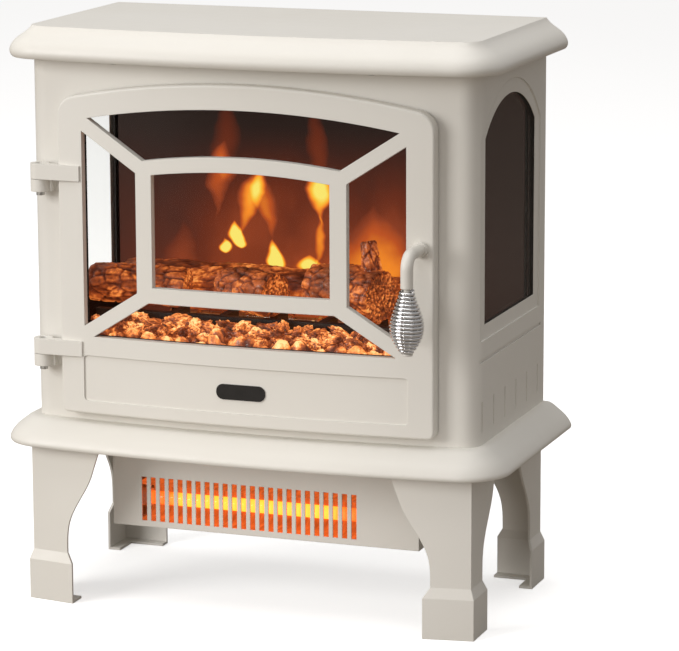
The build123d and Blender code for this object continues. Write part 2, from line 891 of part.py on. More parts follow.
bend_share = math.sqrt(0.5) * handle_bend
with BuildPart() as handle_rod:
    with BuildLine() as handle_line:
        Line((handle_x, handle_root_y - 1, handle_z), (handle_x, grip_y + handle_bend, handle_z))
        ThreePointArc(
            (handle_x, grip_y + handle_bend, handle_z),
            (handle_x, grip_y + handle_bend - bend_share, handle_z - handle_bend + bend_share),
            (handle_x, grip_y, handle_z - handle_bend),
        )
        Line((handle_x, grip_y, handle_z - handle_bend), (handle_x, grip_y, grip_top))
    with BuildSketch(Plane.XZ.offset(-handle_root_y + 1)):
        with Locations((handle_x, handle_z)):
            Circle(handle_rod_radius)
    sweep(path=handle_line.wires()[0])
    with BuildSketch(Plane.XZ.offset(-handle_root_y - 4)):
        with Locations((handle_x, handle_z)):
            Circle(handle_foot_radius)
    extrude(amount=8)
    with BuildSketch(Plane.XY.offset(tip_z)):
        with Locations((handle_x, grip_y)):
            Circle(grip_core_radius)
    extrude(amount=grip_top - tip_z)
    with BuildSketch(Plane.XY.offset(tip_z)):
        with Locations((handle_x, grip_y)):
            Circle(grip_end_radius)
    extrude(amount=handle_tip)
    with BuildSketch(Plane.XY.offset(handle_z - 20)):
        with Locations((0, bow_axis_y)):
            Circle(bow_radius + door_front_reach)
    extrude(amount=40, mode=Mode.SUBTRACT)
    with BuildSketch(Plane.XZ.offset(-handle_root_y - 2)):
        with Locations((handle_x, handle_z)):
            Circle(screw_radius)
    extrude(amount=12, mode=Mode.SUBTRACT)
handle_rod.part.label = "handle_rod"
export_step(handle_rod.part, "parts/handle_rod.step")


def grip_point(share):
    """Point on the grip spring's wire, share running from its top end to its bottom end."""
    swell = math.sin(math.pi * share**1.357)
    radius = grip_end_radius + (grip_belly_radius - grip_end_radius) * swell
    turn = 2 * math.pi * grip_turns * share
    height = grip_top - grip_wire_radius - 0.1 - share * (grip_length - 2 * grip_wire_radius - 0.2)
    return (handle_x + radius * math.cos(turn), grip_y + radius * math.sin(turn), height)


grip_steps = grip_turns * points_per_turn
with BuildPart() as handle_coil:
    with BuildLine() as wire_line:
        wire = Spline([grip_point(step / grip_steps) for step in range(grip_steps + 1)])
    with BuildSketch(Plane(origin=wire @ 0, z_dir=wire % 0)):
        Circle(grip_wire_radius)
    sweep(path=wire_line.wires()[0], is_frenet=True)
handle_coil.part.label = "handle_coil"
export_step(handle_coil.part, "parts/handle_coil.step")

handle_screw_y = bow_y(handle_x, door_back_reach) - handle_counterbore
with BuildPart() as handle_screw:
    add(screw_set([(handle_x, handle_screw_y, handle_z)], (0, -1, 0), door_thickness, 4.0, 2.5))
handle_screw.part.label = "handle_screw"
export_step(handle_screw.part, "parts/handle_screw.step")

# ---------------------------------------------------------------- radiant heater

heater_top = deck_bottom
heater_mid_y = (heater_front_y + heater_back_y) / 2
heater_height = heater_top - heater_bottom
slot_centre_z = (slot_bottom + slot_top) / 2

with BuildPart() as heater_housing:
    with BuildSketch(Plane.XY.offset(heater_bottom)):
        with Locations((0, heater_mid_y)):
            Rectangle(2 * heater_half_width, heater_depth)
    extrude(amount=heater_height)
    with BuildSketch(Plane.XY.offset(heater_bottom + thin_sheet)):
        with Locations((0, heater_mid_y)):
            Rectangle(2 * (heater_half_width - thin_sheet), heater_depth - 2 * thin_sheet)
    extrude(amount=heater_height, mode=Mode.SUBTRACT)
    with BuildSketch(Plane.XZ.offset(-heater_front_y - 2)):
        with Locations((slot_shift, slot_centre_z)):
            with GridLocations(slot_pitch, slot_pitch, slot_count, 1):
                Rectangle(slot_width, slot_top - slot_bottom)
    extrude(amount=4, mode=Mode.SUBTRACT)
    with BuildSketch(Plane.XY.offset(heater_top - thin_sheet)):
        for side in (-1, 1):
            with Locations((side * (heater_half_width + 7 - thin_sheet), heater_mid_y)):
                Rectangle(14, heater_depth - 30)
    extrude(amount=thin_sheet)
heater_housing.part.label = "heater_housing"
export_step(heater_housing.part, "parts/heater_housing.step")

heater_screw_spots = []
for side in (-1, 1):
    for shift in (-22, 22):
        spot_x = side * (heater_half_width + 7)
        heater_screw_spots.append((spot_x, heater_mid_y + shift, heater_top - thin_sheet))
with BuildPart() as heater_screws:
    for spot in heater_screw_spots:
        with BuildSketch(Plane(origin=spot, z_dir=(0, 0, -1))):
            RegularPolygon(screw_head_radius, 6)
        extrude(amount=screw_head_height)
heater_screws.part.label = "heater_screws"
export_step(heater_screws.part, "parts/heater_screws.step")

tube_y = heater_front_y + tube_setback
reflector_back_y = tube_y + reflector_radius
reflector_front_y = heater_front_y + thin_sheet + 2
with BuildPart() as reflector:
    with BuildSketch(Plane.YZ.offset(slot_shift - reflector_half_length)):
        with BuildLine() as trough:
            Line((reflector_front_y, tube_z + reflector_radius), (tube_y, tube_z + reflector_radius))
            ThreePointArc(
                (tube_y, tube_z + reflector_radius),
                (tube_y + reflector_radius, tube_z),
                (tube_y, tube_z - reflector_radius),
            )
            Line((tube_y, tube_z - reflector_radius), (reflector_front_y, tube_z - reflector_radius))
            offset(amount=thin_sheet, side=Side.RIGHT)
        make_face()
    extrude(amount=2 * reflector_half_length)
reflector.part.label = "reflector"
export_step(reflector.part, "parts/reflector.step")


def along_tube(half_length, radius, bore=0.0):
    with BuildPart() as rod:
        with BuildSketch(Plane.YZ.offset(slot_shift - half_length)):
            with Locations((tube_y, tube_z)):
                Circle(radius)
                if bore > 0:
                    Circle(bore, mode=Mode.SUBTRACT)
        extrude(amount=2 * half_length)
    return rod.part


tube_bore = tube_radius - tube_wall
with BuildPart() as quartz_tube:
    add(along_tube(tube_half_length, tube_radius, tube_bore))
quartz_tube.part.label = "quartz_tube"
export_step(quartz_tube.part, "parts/quartz_tube.step")

with BuildPart() as filament:
    add(along_tube(tube_half_length, filament_radius))
filament.part.label = "filament"
export_step(filament.part, "parts/filament.step")

with BuildPart() as tube_caps:
    for side in (-1, 1):
        cap_start = slot_shift + side * (tube_half_length - cap_grip)
        with BuildSketch(Plane.YZ.offset(cap_start)):
            with Locations((tube_y, tube_z)):
                Circle(cap_radius)
        extrude(amount=side * cap_length)
        with BuildSketch(Plane.YZ.offset(cap_start)):
            with Locations((tube_y, tube_z)):
                Circle(tube_radius)
        extrude(amount=side * cap_grip, mode=Mode.SUBTRACT)
tube_caps.part.label = "tube_caps"
export_step(tube_caps.part, "parts/tube_caps.step")

bracket_height = tube_z + cap_radius + 12 - heater_bottom - thin_sheet
with BuildPart() as tube_brackets:
    for side in (-1, 1):
        bracket_x = slot_shift + side * (tube_half_length + 5)
        with BuildSketch(Plane.YZ.offset(bracket_x)):
            with Locations((tube_y, heater_bottom + thin_sheet + bracket_height / 2)):
                Rectangle(2 * cap_radius + 14, bracket_height)
            with Locations((tube_y, tube_z)):
                Circle(cap_radius, mode=Mode.SUBTRACT)
        extrude(amount=side * thin_sheet)
        with BuildSketch(Plane.XY.offset(heater_bottom + thin_sheet)):
            with Locations((bracket_x + side * 6, tube_y)):
                Rectangle(12, 2 * cap_radius + 14)
        extrude(amount=thin_sheet)
tube_brackets.part.label = "tube_brackets"
export_step(tube_brackets.part, "parts/tube_brackets.step")

with BuildPart() as thermal_cutout:
    with BuildSketch(Plane.XZ.offset(-reflector_back_y)):
        with Locations((slot_shift, tube_z)):
            Rectangle(16, 9)
    extrude(amount=-1.2)
    with BuildSketch(Plane.XZ.offset(-reflector_back_y - 1.2)):
        with Locations((slot_shift, tube_z)):
            Circle(7)
    extrude(amount=-8)
thermal_cutout.part.label = "thermal_cutout"
export_step(thermal_cutout.part, "parts/thermal_cutout.step")

tilt_x = heater_half_width - thin_sheet - 16
with BuildPart() as tilt_switch:
    with BuildSketch(Plane.XY.offset(heater_bottom + thin_sheet)):
        with Locations((tilt_x, tube_y + 20)):
            RectangleRounded(22, 34, 2)
    extrude(amount=30)
tilt_switch.part.label = "tilt_switch"
export_step(tilt_switch.part, "parts/tilt_switch.step")

# ---------------------------------------------------------------- firebox

screen_bottom = deck_top + 12
screen_top = body_top - 16
with BuildPart() as flame_screen:
    with BuildSketch(Plane.XZ.offset(-screen_y)):
        with Locations((0, (screen_bottom + screen_top) / 2)):
            Rectangle(2 * screen_half_width, screen_top - screen_bottom)
    extrude(amount=screen_thickness)
flame_screen.part.label = "flame_screen"
export_step(flame_screen.part, "parts/flame_screen.step")

ceiling_front_y = corner_y + 6
with BuildPart() as firebox_ceiling:
    with BuildSketch(Plane.XY.offset(screen_top)):
        with Locations((0, (ceiling_front_y + screen_y) / 2)):
            Rectangle(2 * screen_half_width, screen_y - ceiling_front_y)
    extrude(amount=thin_sheet)
firebox_ceiling.part.label = "firebox_ceiling"
export_step(firebox_ceiling.part, "parts/firebox_ceiling.step")

tray_depth = tray_back_y - tray_front_y
tray_mid_y = (tray_front_y + tray_back_y) / 2
with BuildPart() as ember_tray:
    with BuildSketch(Plane.XY.offset(deck_top)):
        with Locations((0, tray_mid_y)):
            Rectangle(2 * tray_half_width, tray_depth)
    extrude(amount=tray_bottom + tray_wall_height - deck_top)
    with BuildSketch(Plane.XY.offset(tray_bottom)):
        with Locations((0, tray_mid_y)):
            Rectangle(2 * tray_half_width - 2 * sheet, tray_depth - 2 * sheet)
    extrude(amount=tray_wall_height, mode=Mode.SUBTRACT)
    with BuildSketch(Plane.XY.offset(deck_top)):
        with Locations((0, tray_mid_y)):
            Rectangle(2 * tray_half_width - 2 * sheet, tray_depth - 2 * sheet)
    extrude(amount=tray_bottom - deck_top - sheet, mode=Mode.SUBTRACT)
ember_tray.part.label = "ember_tray"
export_step(ember_tray.part, "parts/ember_tray.step")

with BuildPart() as ember_light_board:
    with BuildSketch(Plane.XY.offset(tray_bottom)):
        with Locations((0, tray_mid_y)):
            Rectangle(2 * tray_half_width - 40, tray_depth - 50)
    extrude(amount=board_thickness)
    with BuildSketch(Plane.XY.offset(tray_bottom + board_thickness)):
        with Locations((0, tray_mid_y)):
            with GridLocations(44, 30, 8, 3):
                Rectangle(5, 5)
    extrude(amount=light_height)
ember_light_board.part.label = "ember_light_board"
export_step(ember_light_board.part, "parts/ember_light_board.step")

bed_bottom = tray_bottom + board_thickness + light_height + skin_gap
bed_half_width = tray_half_width - sheet - skin_gap
bed_half_depth = tray_depth / 2 - sheet - skin_gap
with BuildPart() as ember_bed:
    with BuildSketch(Plane.XY.offset(bed_bottom)):
        with Locations((0, tray_mid_y)):
            Rectangle(2 * bed_half_width, 2 * bed_half_depth)
    extrude(amount=ember_top - 10 - bed_bottom)
    for row in range(lump_rows):
        for column in range(lump_columns):
            lump_x = (column - (lump_columns - 1) / 2) * 22 + (row % 2) * 5
            lump_y = tray_mid_y + (row - (lump_rows - 1) / 2) * 24
            lump_height = 7 + 3 * ((column * 5 + row * 3) % 4) / 3
            if row == 0:
                lump_height += ember_front_lift
            with BuildSketch(Plane.XY.offset(ember_top - 10)):
                with Locations((lump_x, lump_y)):
                    RegularPolygon(10, 6, rotation=17 * column + 29 * row)
            extrude(amount=lump_height, taper=24)
ember_bed.part.label = "ember_bed"
export_step(ember_bed.part, "parts/ember_bed.step")

grate_y = tray_front_y + 42
grate_low = ember_top + skin_gap
with BuildPart() as grate:
    with BuildSketch(Plane.XY.offset(grate_low)):
        with Locations((0, grate_y)):
            Rectangle(2 * bed_half_width - 20, 9)
        for column in range(7):
            with Locations(((column - 3) * 52, grate_y + 20)):
                Rectangle(8, 34)
    extrude(amount=grate_height)
grate.part.label = "grate"
export_step(grate.part, "parts/grate.step")

log_rest = grate_low + grate_height + skin_gap


def log_solid(start, end, radii, sides, lift):
    """Rough log lofted through many-sided sections along a straight line."""
    line = Vector(*end) - Vector(*start)
    with BuildPart() as trunk:
        for index, radius in enumerate(radii):
            share = index / (len(radii) - 1)
            wobble = lift * math.sin(2.4 * index + radius)
            origin = Vector(*start) + line * share + Vector(0, 0, wobble)
            with BuildSketch(Plane(origin=origin, z_dir=line)):
                RegularPolygon(radius, sides)
        loft(ruled=True)
    return trunk.part


log_table = (
    ("log_back", (-185, 28, 12), (185, 24, 8), (24, 25, 23, 24, 23, 22), 11, 1.5),
    ("log_left", (-198, -34, 21), (-96, -26, 20.5), (19, 20, 19.5, 19), 9, 0.8),
    ("log_middle", (-58, -24, 23.5), (4, -52, 23.5), (20, 21.5, 22, 21), 9, 0.8),
    ("log_right", (34, -20, 28), (112, -50, 28), (23, 25.5, 26.5, 25), 9, 0.8),
)
for name, start, end, radii, sides, lift in log_table:
    base = Vector(0, back_y - 110, log_rest)
    with BuildPart() as log:
        add(log_solid(base + Vector(*start), base + Vector(*end), radii, sides, lift))
    log.part.label = name
    export_step(log.part, "parts/" + name + ".step")

stub_base = Vector(98, back_y - 150, log_rest + 56)
with BuildPart() as log_stub:
    with BuildSketch(Plane(origin=stub_base, z_dir=(-0.2, 0.1, 1))):
        RegularPolygon(9, 8)
    extrude(amount=24, taper=4)
log_stub.part.label = "log_stub"
export_step(log_stub.part, "parts/log_stub.step")

# ---------------------------------------------------------------- flame maker

bushing_bore = spindle_radius + 0.06
bracket_span = spindle_half_length - 8
with BuildPart() as spindle_brackets:
    for side in (-1, 1):
        with BuildSketch(Plane.YZ.offset(side * bracket_span)):
            with Locations((spindle_y, (deck_top + spindle_z + 10) / 2)):
                Rectangle(bracket_width, spindle_z + 10 - deck_top)
            with Locations((spindle_y, spindle_z)):
                Circle(bushing_bore, mode=Mode.SUBTRACT)
        extrude(amount=side * 3)
        with BuildSketch(Plane.XY.offset(deck_top)):
            with Locations((side * (bracket_span + 9), spindle_y)):
                Rectangle(12, bracket_width)
        extrude(amount=2)
spindle_brackets.part.label = "spindle_brackets"
export_step(spindle_brackets.part, "parts/spindle_brackets.step")

motor_face_x = bracket_span + 14
with BuildPart() as spindle_rod:
    with BuildSketch(Plane.YZ.offset(-spindle_half_length)):
        with Locations((spindle_y, spindle_z)):
            Circle(spindle_radius)
    extrude(amount=spindle_half_length + motor_face_x - bracket_gap)
    with BuildSketch(Plane.YZ.offset(motor_face_x - 8)):
        with Locations((spindle_y, spindle_z)):
            Circle(motor_shaft_radius + 0.06)
    extrude(amount=10, mode=Mode.SUBTRACT)
spindle_rod.part.label = "spindle_rod"
export_step(spindle_rod.part, "parts/spindle_rod.step")

strip_pitch = 2 * (bracket_span - 12) / strip_count
with BuildPart() as spindle_strips:
    for index in range(strip_count):
        strip_x = (index - (strip_count - 1) / 2) * strip_pitch
        with BuildSketch(Plane.YZ.offset(strip_x - 2)):
            with Locations((spindle_y, spindle_z)):
                Rectangle(2 * strip_reach, 3, rotation=36 * index)
                Circle(spindle_radius + 1.6)
                Circle(spindle_radius, mode=Mode.SUBTRACT)
        extrude(amount=4)
spindle_strips.part.label = "spindle_strips"
export_step(spindle_strips.part, "parts/spindle_strips.step")

with BuildPart() as spindle_motor:
    with BuildSketch(Plane.YZ.offset(motor_face_x)):
        with Locations((spindle_y, spindle_z)):
            Circle(14)
    extrude(amount=20)
    with BuildSketch(Plane.YZ.offset(motor_face_x)):
        with Locations((spindle_y, spindle_z)):
            Circle(motor_shaft_radius)
    extrude(amount=-7)
    with BuildSketch(Plane.XY.offset(deck_top)):
        with Locations((motor_face_x + 10, spindle_y)):
            Rectangle(12, 14)
    extrude(amount=spindle_z - deck_top - 8)
spindle_motor.part.label = "spindle_motor"
export_step(spindle_motor.part, "parts/spindle_motor.step")

with BuildPart() as flame_light_board:
    with BuildSketch(Plane.XY.offset(deck_top)):
        with Locations((0, spindle_y)):
            Rectangle(2 * bracket_span - 24, 14)
    extrude(amount=board_thickness)
    with BuildSketch(Plane.XY.offset(deck_top + board_thickness)):
        with Locations((0, spindle_y)):
            with GridLocations(30, 20, 8, 1):
                Rectangle(5, 5)
    extrude(amount=light_height)
flame_light_board.part.label = "flame_light_board"
export_step(flame_light_board.part, "parts/flame_light_board.step")

# ---------------------------------------------------------------- rear controls

bezel_front_y = rear_panel_back
bezel_back_y = bezel_front_y + bezel_thickness
button_x0 = bezel_x - bezel_width / 2 + 18
button_spots = [button_x0 + index * button_pitch for index in range(button_count)]
rocker_x = bezel_x + bezel_width / 2 - 20
board_y = rear_panel_back - 14

with BuildPart() as control_bezel:
    with BuildSketch(Plane.XZ.offset(-bezel_back_y)):
        with Locations((bezel_x, bezel_z)):
            RectangleRounded(bezel_width, bezel_height, 3)
        for spot in button_spots:
            with Locations((spot, bezel_z)):
                Circle(button_radius + button_clearance, mode=Mode.SUBTRACT)
        with Locations((rocker_x, bezel_z)):
            Rectangle(rocker_width + 2, rocker_height + 3, mode=Mode.SUBTRACT)
    extrude(amount=bezel_thickness)
    for side in (-1, 1):
        with BuildSketch(Plane.YZ.offset(rocker_x + side * (rocker_width / 2 + 1))):
            with Locations((bezel_front_y - 4, bezel_z)):
                Rectangle(8, 9)
            with Locations((bezel_front_y - 4, bezel_z)):
                Circle(rocker_axle_radius + 0.08, mode=Mode.SUBTRACT)
        extrude(amount=side * 2)
control_bezel.part.label = "control_bezel"
export_step(control_bezel.part, "parts/control_bezel.step")

button_words = ("power", "flame", "heat", "timer")
for word, spot in zip(button_words, button_spots):
    with BuildPart() as button:
        with BuildSketch(Plane.XZ.offset(-bezel_back_y - button_proud)):
            with Locations((spot, bezel_z)):
                Circle(button_radius)
        extrude(amount=bezel_thickness + button_proud + 3)
        with BuildSketch(Plane.XZ.offset(-bezel_front_y + 3)):
            with Locations((spot, bezel_z)):
                Circle(button_radius + 1.2)
        extrude(amount=1)
    button.part.label = "button_" + word
    export_step(button.part, "parts/button_" + word + ".step")

switch_top_y = bezel_front_y - 4 - button_travel - 0.3
with BuildPart() as control_board:
    with BuildSketch(Plane.XZ.offset(-board_y)):
        with Locations((bezel_x - 14, bezel_z)):
            Rectangle(bezel_width - 46, bezel_height - 12)
    extrude(amount=board_thickness)
    for spot in button_spots:
        with BuildSketch(Plane.XZ.offset(-board_y)):
            with Locations((spot, bezel_z)):
                Rectangle(6, 6)
        extrude(amount=-(switch_top_y - board_y))
control_board.part.label = "control_board"
export_step(control_board.part, "parts/control_board.step")

rocker_y = bezel_front_y - 4
with BuildPart() as main_rocker:
    with BuildSketch(Plane.YZ.offset(rocker_x - rocker_width / 2)):
        with Locations((rocker_y, bezel_z)):
            Circle(rocker_height / 2)
            Rectangle(10, 40, rotation=rocker_swing, mode=Mode.INTERSECT)
    extrude(amount=rocker_width)
    with BuildSketch(Plane.YZ.offset(rocker_x - rocker_width / 2 - 2.5)):
        with Locations((rocker_y, bezel_z)):
            Circle(rocker_axle_radius)
    extrude(amount=rocker_width + 5)
main_rocker.part.label = "main_rocker"
export_step(main_rocker.part, "parts/main_rocker.step")

with BuildPart() as power_board:
    with BuildSketch(Plane.XY.offset(deck_top + 8)):
        with Locations((-120, spindle_y - 62)):
            Rectangle(80, 40)
    extrude(amount=board_thickness)
    with BuildSketch(Plane.XY.offset(deck_top + 8 + board_thickness)):
        with Locations((-138, spindle_y - 62)):
            Rectangle(22, 26)
        with Locations((-104, spindle_y - 62)):
            Circle(7)
    extrude(amount=16)
    for shift in (-34, 34):
        with BuildSketch(Plane.XY.offset(deck_top)):
            with Locations((-120 + shift, spindle_y - 62)):
                Circle(3)
        extrude(amount=8)
power_board.part.label = "power_board"
export_step(power_board.part, "parts/power_board.step")
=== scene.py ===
"""Electric stove heater: looks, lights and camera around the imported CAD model. Metres, +Z up."""
import math
import random

import bmesh
import bpy
from mathutils import Euler, Matrix, Vector, noise


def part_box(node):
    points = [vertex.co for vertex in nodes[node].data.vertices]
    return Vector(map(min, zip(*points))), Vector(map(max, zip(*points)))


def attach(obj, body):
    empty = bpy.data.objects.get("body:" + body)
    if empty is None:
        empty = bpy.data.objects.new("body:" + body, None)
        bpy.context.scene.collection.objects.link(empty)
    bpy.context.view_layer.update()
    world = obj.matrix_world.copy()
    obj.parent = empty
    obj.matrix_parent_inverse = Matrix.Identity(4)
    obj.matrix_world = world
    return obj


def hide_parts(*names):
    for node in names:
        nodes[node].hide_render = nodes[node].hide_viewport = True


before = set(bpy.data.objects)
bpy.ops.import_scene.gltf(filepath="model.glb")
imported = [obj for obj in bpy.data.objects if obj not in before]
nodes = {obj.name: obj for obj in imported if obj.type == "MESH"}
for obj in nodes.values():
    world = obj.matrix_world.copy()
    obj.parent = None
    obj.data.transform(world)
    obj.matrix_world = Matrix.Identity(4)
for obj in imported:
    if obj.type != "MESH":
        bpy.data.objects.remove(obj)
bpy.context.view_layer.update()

slot_of = {name: piece.material_slots[0].material.name.split(".")[0] for name, piece in nodes.items()}
MM = 0.001


# ------------------------------------------------------------------ node graphs
class Graph:
    """One material: a Principled shader and short calls that add nodes in front of it."""

    def __init__(self, name):
        self.material = bpy.data.materials.new(name)
        self.material.use_nodes = True
        self.tree = self.material.node_tree
        self.tree.nodes.clear()
        self.out = self.add("ShaderNodeOutputMaterial")
        self.shader = self.add("ShaderNodeBsdfPrincipled")
        self.join(self.shader.outputs[0], self.out, "Surface")
        self.place = self.add("ShaderNodeTexCoord").outputs["Object"]

    def add(self, kind, **settings):
        node = self.tree.nodes.new(kind)
        for key, value in settings.items():
            setattr(node, key, value)
        return node

    def join(self, source, node, socket):
        self.tree.links.new(source, node.inputs[socket])

    def feed(self, node, socket, value):
        """A number or colour is set on the socket; an output is linked to it."""
        if isinstance(value, bpy.types.NodeSocket):
            self.join(value, node, socket)
        else:
            node.inputs[socket].default_value = value

    def stretched(self, scale):
        node = self.add("ShaderNodeMapping")
        node.inputs["Scale"].default_value = scale
        self.join(self.place, node, "Vector")
        return node.outputs[0]

    def noise(self, scale, detail=3.0, place=None, distortion=0.0):
        node = self.add("ShaderNodeTexNoise")
        node.inputs["Scale"].default_value = scale
        node.inputs["Detail"].default_value = detail
        node.inputs["Distortion"].default_value = distortion
        self.join(place or self.place, node, "Vector")
        return node.outputs["Fac"]

    def cells(self, scale, feature="F1", place=None):
        node = self.add("ShaderNodeTexVoronoi", feature=feature)
        node.inputs["Scale"].default_value = scale
        self.join(place or self.place, node, "Vector")
        return node.outputs["Distance"]

    def attribute(self, name):
        return self.add("ShaderNodeAttribute", attribute_name=name).outputs["Fac"]

    def sum(self, operation, first, second=0.0, clamp=False):
        node = self.add("ShaderNodeMath", operation=operation, use_clamp=clamp)
        self.feed(node, 0, first)
        self.feed(node, 1, second)
        return node.outputs[0]

    def span(self, value, low, high, to_low=0.0, to_high=1.0, smooth=False):
        node = self.add("ShaderNodeMapRange")
        if smooth:
            node.interpolation_type = "SMOOTHSTEP"
        self.feed(node, "Value", value)
        node.inputs["From Min"].default_value = low
        node.inputs["From Max"].default_value = high
        node.inputs["To Min"].default_value = to_low
        node.inputs["To Max"].default_value = to_high
        return node.outputs[0]

    def ramp(self, value, stops):
        node = self.add("ShaderNodeValToRGB")
        band = node.color_ramp
        while len(band.elements) < len(stops):
            band.elements.new(0.5)
        for element, (spot, colour) in zip(band.elements, stops):
            element.position = spot
            element.color = (*colour, 1.0)
        self.feed(node, "Fac", value)
        return node.outputs["Color"]

    def bump(self, height, strength, distance, normal=None):
        node = self.add("ShaderNodeBump")
        node.inputs["Strength"].default_value = strength
        node.inputs["Distance"].default_value = distance
        self.join(height, node, "Height")
        if normal is not None:
            self.join(normal, node, "Normal")
        return node.outputs[0]

    def rounded(self, radius):
        """Normals that round every sharp edge by this radius."""
        node = self.add("ShaderNodeBevel", samples=4)
        node.inputs["Radius"].default_value = radius
        return node.outputs[0]

    def set(self, **sockets):
        """Sets or links the shader's sockets; an underscore in a name stands for a space."""
        for key, value in sockets.items():
            if isinstance(value, tuple):
                value = (*value, 1.0)
            self.feed(self.shader, key.replace("_", " "), value)
        return self.material


# ------------------------------------------------------------------ materials
IVORY_LIGHT = (0.800, 0.775, 0.722)
IVORY_DEEP = (0.775, 0.746, 0.686)
EDGE_ROUND = 0.9 * MM
GLASS_HEAD_ON = 0.004
GLASS_GRAZING = 0.4


def ivory_paint():
    """Satin powder coat: a trace of orange peel, faint colour drift, softened edges."""
    g = Graph("ivory_paint")
    drift = g.ramp(g.noise(4.0, 2.0), [(0.35, IVORY_DEEP), (0.65, IVORY_LIGHT)])
    gloss = g.span(g.noise(70.0, 4.0), 0.3, 0.7, 0.36, 0.46)
    peel = g.bump(g.noise(1100.0, 2.0), 0.10, 0.05 * MM, g.rounded(EDGE_ROUND))
    return g.set(Base_Color=drift, Roughness=gloss, Normal=peel, Specular_IOR_Level=0.45)


def metal(name, colour, roughness, grain=(400.0, 30.0, 30.0), depth=0.04):
    """Bare metal with a fine grain along one direction."""
    g = Graph(name)
    streaks = g.noise(1.0, 4.0, g.stretched(grain))
    tint = g.ramp(streaks, [(0.3, tuple(0.86 * c for c in colour)), (0.7, colour)])
    gloss = g.span(streaks, 0.3, 0.7, roughness * 0.8, roughness * 1.25)
    relief = g.bump(streaks, depth, 0.05 * MM, g.rounded(0.3 * MM))
    return g.set(Base_Color=tint, Metallic=1.0, Roughness=gloss, Normal=relief)


def plastic(name, colour, roughness, texture=900.0):
    """Moulded plastic with a fine spark-eroded texture."""
    g = Graph(name)
    spots = g.noise(texture, 3.0)
    tint = g.ramp(g.noise(12.0), [(0.3, tuple(0.8 * c for c in colour)), (0.7, colour)])
    gloss = g.span(spots, 0.3, 0.7, roughness - 0.06, roughness + 0.06)
    relief = g.bump(spots, 0.12, 0.05 * MM, g.rounded(0.35 * MM))
    return g.set(Base_Color=tint, Roughness=gloss, Normal=relief)


def pane(name, tint, smudge):
    """Clear sheet glass that mirrors by its angle, with faint smears."""
    g = Graph(name)
    g.tree.nodes.remove(g.shader)
    through = g.add("ShaderNodeBsdfTransparent")
    through.inputs["Color"].default_value = (*tint, 1.0)
    mirror = g.add("ShaderNodeBsdfGlossy")
    g.feed(mirror, "Roughness", g.span(g.noise(9.0, 5.0), 0.35, 0.7, 0.01, smudge))
    facing = g.add("ShaderNodeLayerWeight").outputs["Facing"]
    share = g.sum("ADD", g.sum("MULTIPLY", g.sum("POWER", facing, 5.0), GLASS_GRAZING), GLASS_HEAD_ON)
    mix = g.add("ShaderNodeMixShader")
    g.join(share, mix, 0)
    g.join(through.outputs[0], mix, 1)
    g.join(mirror.outputs[0], mix, 2)
    g.join(mix.outputs[0], g.out, "Surface")
    return g.material


def black_steel():
    """Matt black stove enamel inside the firebox."""
    g = Graph("black_steel")
    tint = g.ramp(g.noise(30.0, 4.0), [(0.3, (0.010, 0.008, 0.007)), (0.7, (0.022, 0.016, 0.014))])
    relief = g.bump(g.noise(700.0, 3.0), 0.2, 0.1 * MM, g.rounded(0.4 * MM))
    return g.set(Base_Color=tint, Roughness=0.6, Normal=relief, Specular_IOR_Level=0.25)


def dark_steel():
    """Grey-black painted sheet of the back."""
    g = Graph("dark_steel")
    tint = g.ramp(g.noise(25.0, 4.0), [(0.3, (0.040, 0.040, 0.041)), (0.7, (0.062, 0.061, 0.060))])
    relief = g.bump(g.noise(800.0, 2.0), 0.15, 0.08 * MM, g.rounded(0.5 * MM))
    return g.set(Base_Color=tint, Roughness=0.5, Normal=relief)


def gasket_rope():
    """Woven glass-fibre rope."""
    g = Graph("gasket_rope")
    weave = g.cells(650.0)
    tint = g.ramp(weave, [(0.2, (0.05, 0.05, 0.05)), (0.8, (0.015, 0.015, 0.015))])
    return g.set(Base_Color=tint, Roughness=0.95, Normal=g.bump(weave, 0.6, 0.4 * MM))


def cast_iron():
    """Rough grate casting with worn, rounded edges."""
    g = Graph("cast_iron")
    grit = g.noise(420.0, 5.0)
    tint = g.ramp(grit, [(0.3, (0.008, 0.008, 0.008)), (0.7, (0.024, 0.022, 0.022))])
    relief = g.bump(grit, 0.6, 0.5 * MM, g.rounded(1.2 * MM))
    return g.set(Base_Color=tint, Roughness=0.6, Normal=relief)


def circuit_board():
    """Green board with a pale copper track pattern."""
    g = Graph("circuit_board")
    tracks = g.add("ShaderNodeTexBrick")
    tracks.inputs["Scale"].default_value = 180.0
    tracks.inputs["Mortar Size"].default_value = 0.06
    tracks.inputs["Color1"].default_value = (0.010, 0.090, 0.035, 1.0)
    tracks.inputs["Color2"].default_value = (0.012, 0.110, 0.045, 1.0)
    tracks.inputs["Mortar"].default_value = (0.45, 0.36, 0.16, 1.0)
    g.join(g.place, tracks, "Vector")
    return g.set(Base_Color=tracks.outputs["Color"], Roughness=0.35)


def ceramic():
    """Off-white fired caps of the tube."""
    g = Graph("white_ceramic")
    tint = g.ramp(g.noise(60.0, 4.0), [(0.3, (0.72, 0.66, 0.56)), (0.7, (0.82, 0.78, 0.70))])
    relief = g.bump(g.noise(600.0), 0.2, 0.1 * MM, g.rounded(0.6 * MM))
    return g.set(Base_Color=tint, Roughness=0.5, Normal=relief)


def enamel_black():
    """Glossy black enamel of the plain badge."""
    g = Graph("badge_plate")
    tint = g.ramp(g.noise(90.0), [(0.3, (0.008, 0.008, 0.008)), (0.7, (0.015, 0.014, 0.014))])
    return g.set(Base_Color=tint, Roughness=0.25, Normal=g.rounded(0.3 * MM), Coat_Weight=0.4)


# Glow of the lit tube, and of the reflector that it lights.
TUBE_GLOW = (1.0, 0.150, 0.010)
REFLECTOR_GLOW = (0.70, 0.110, 0.018)


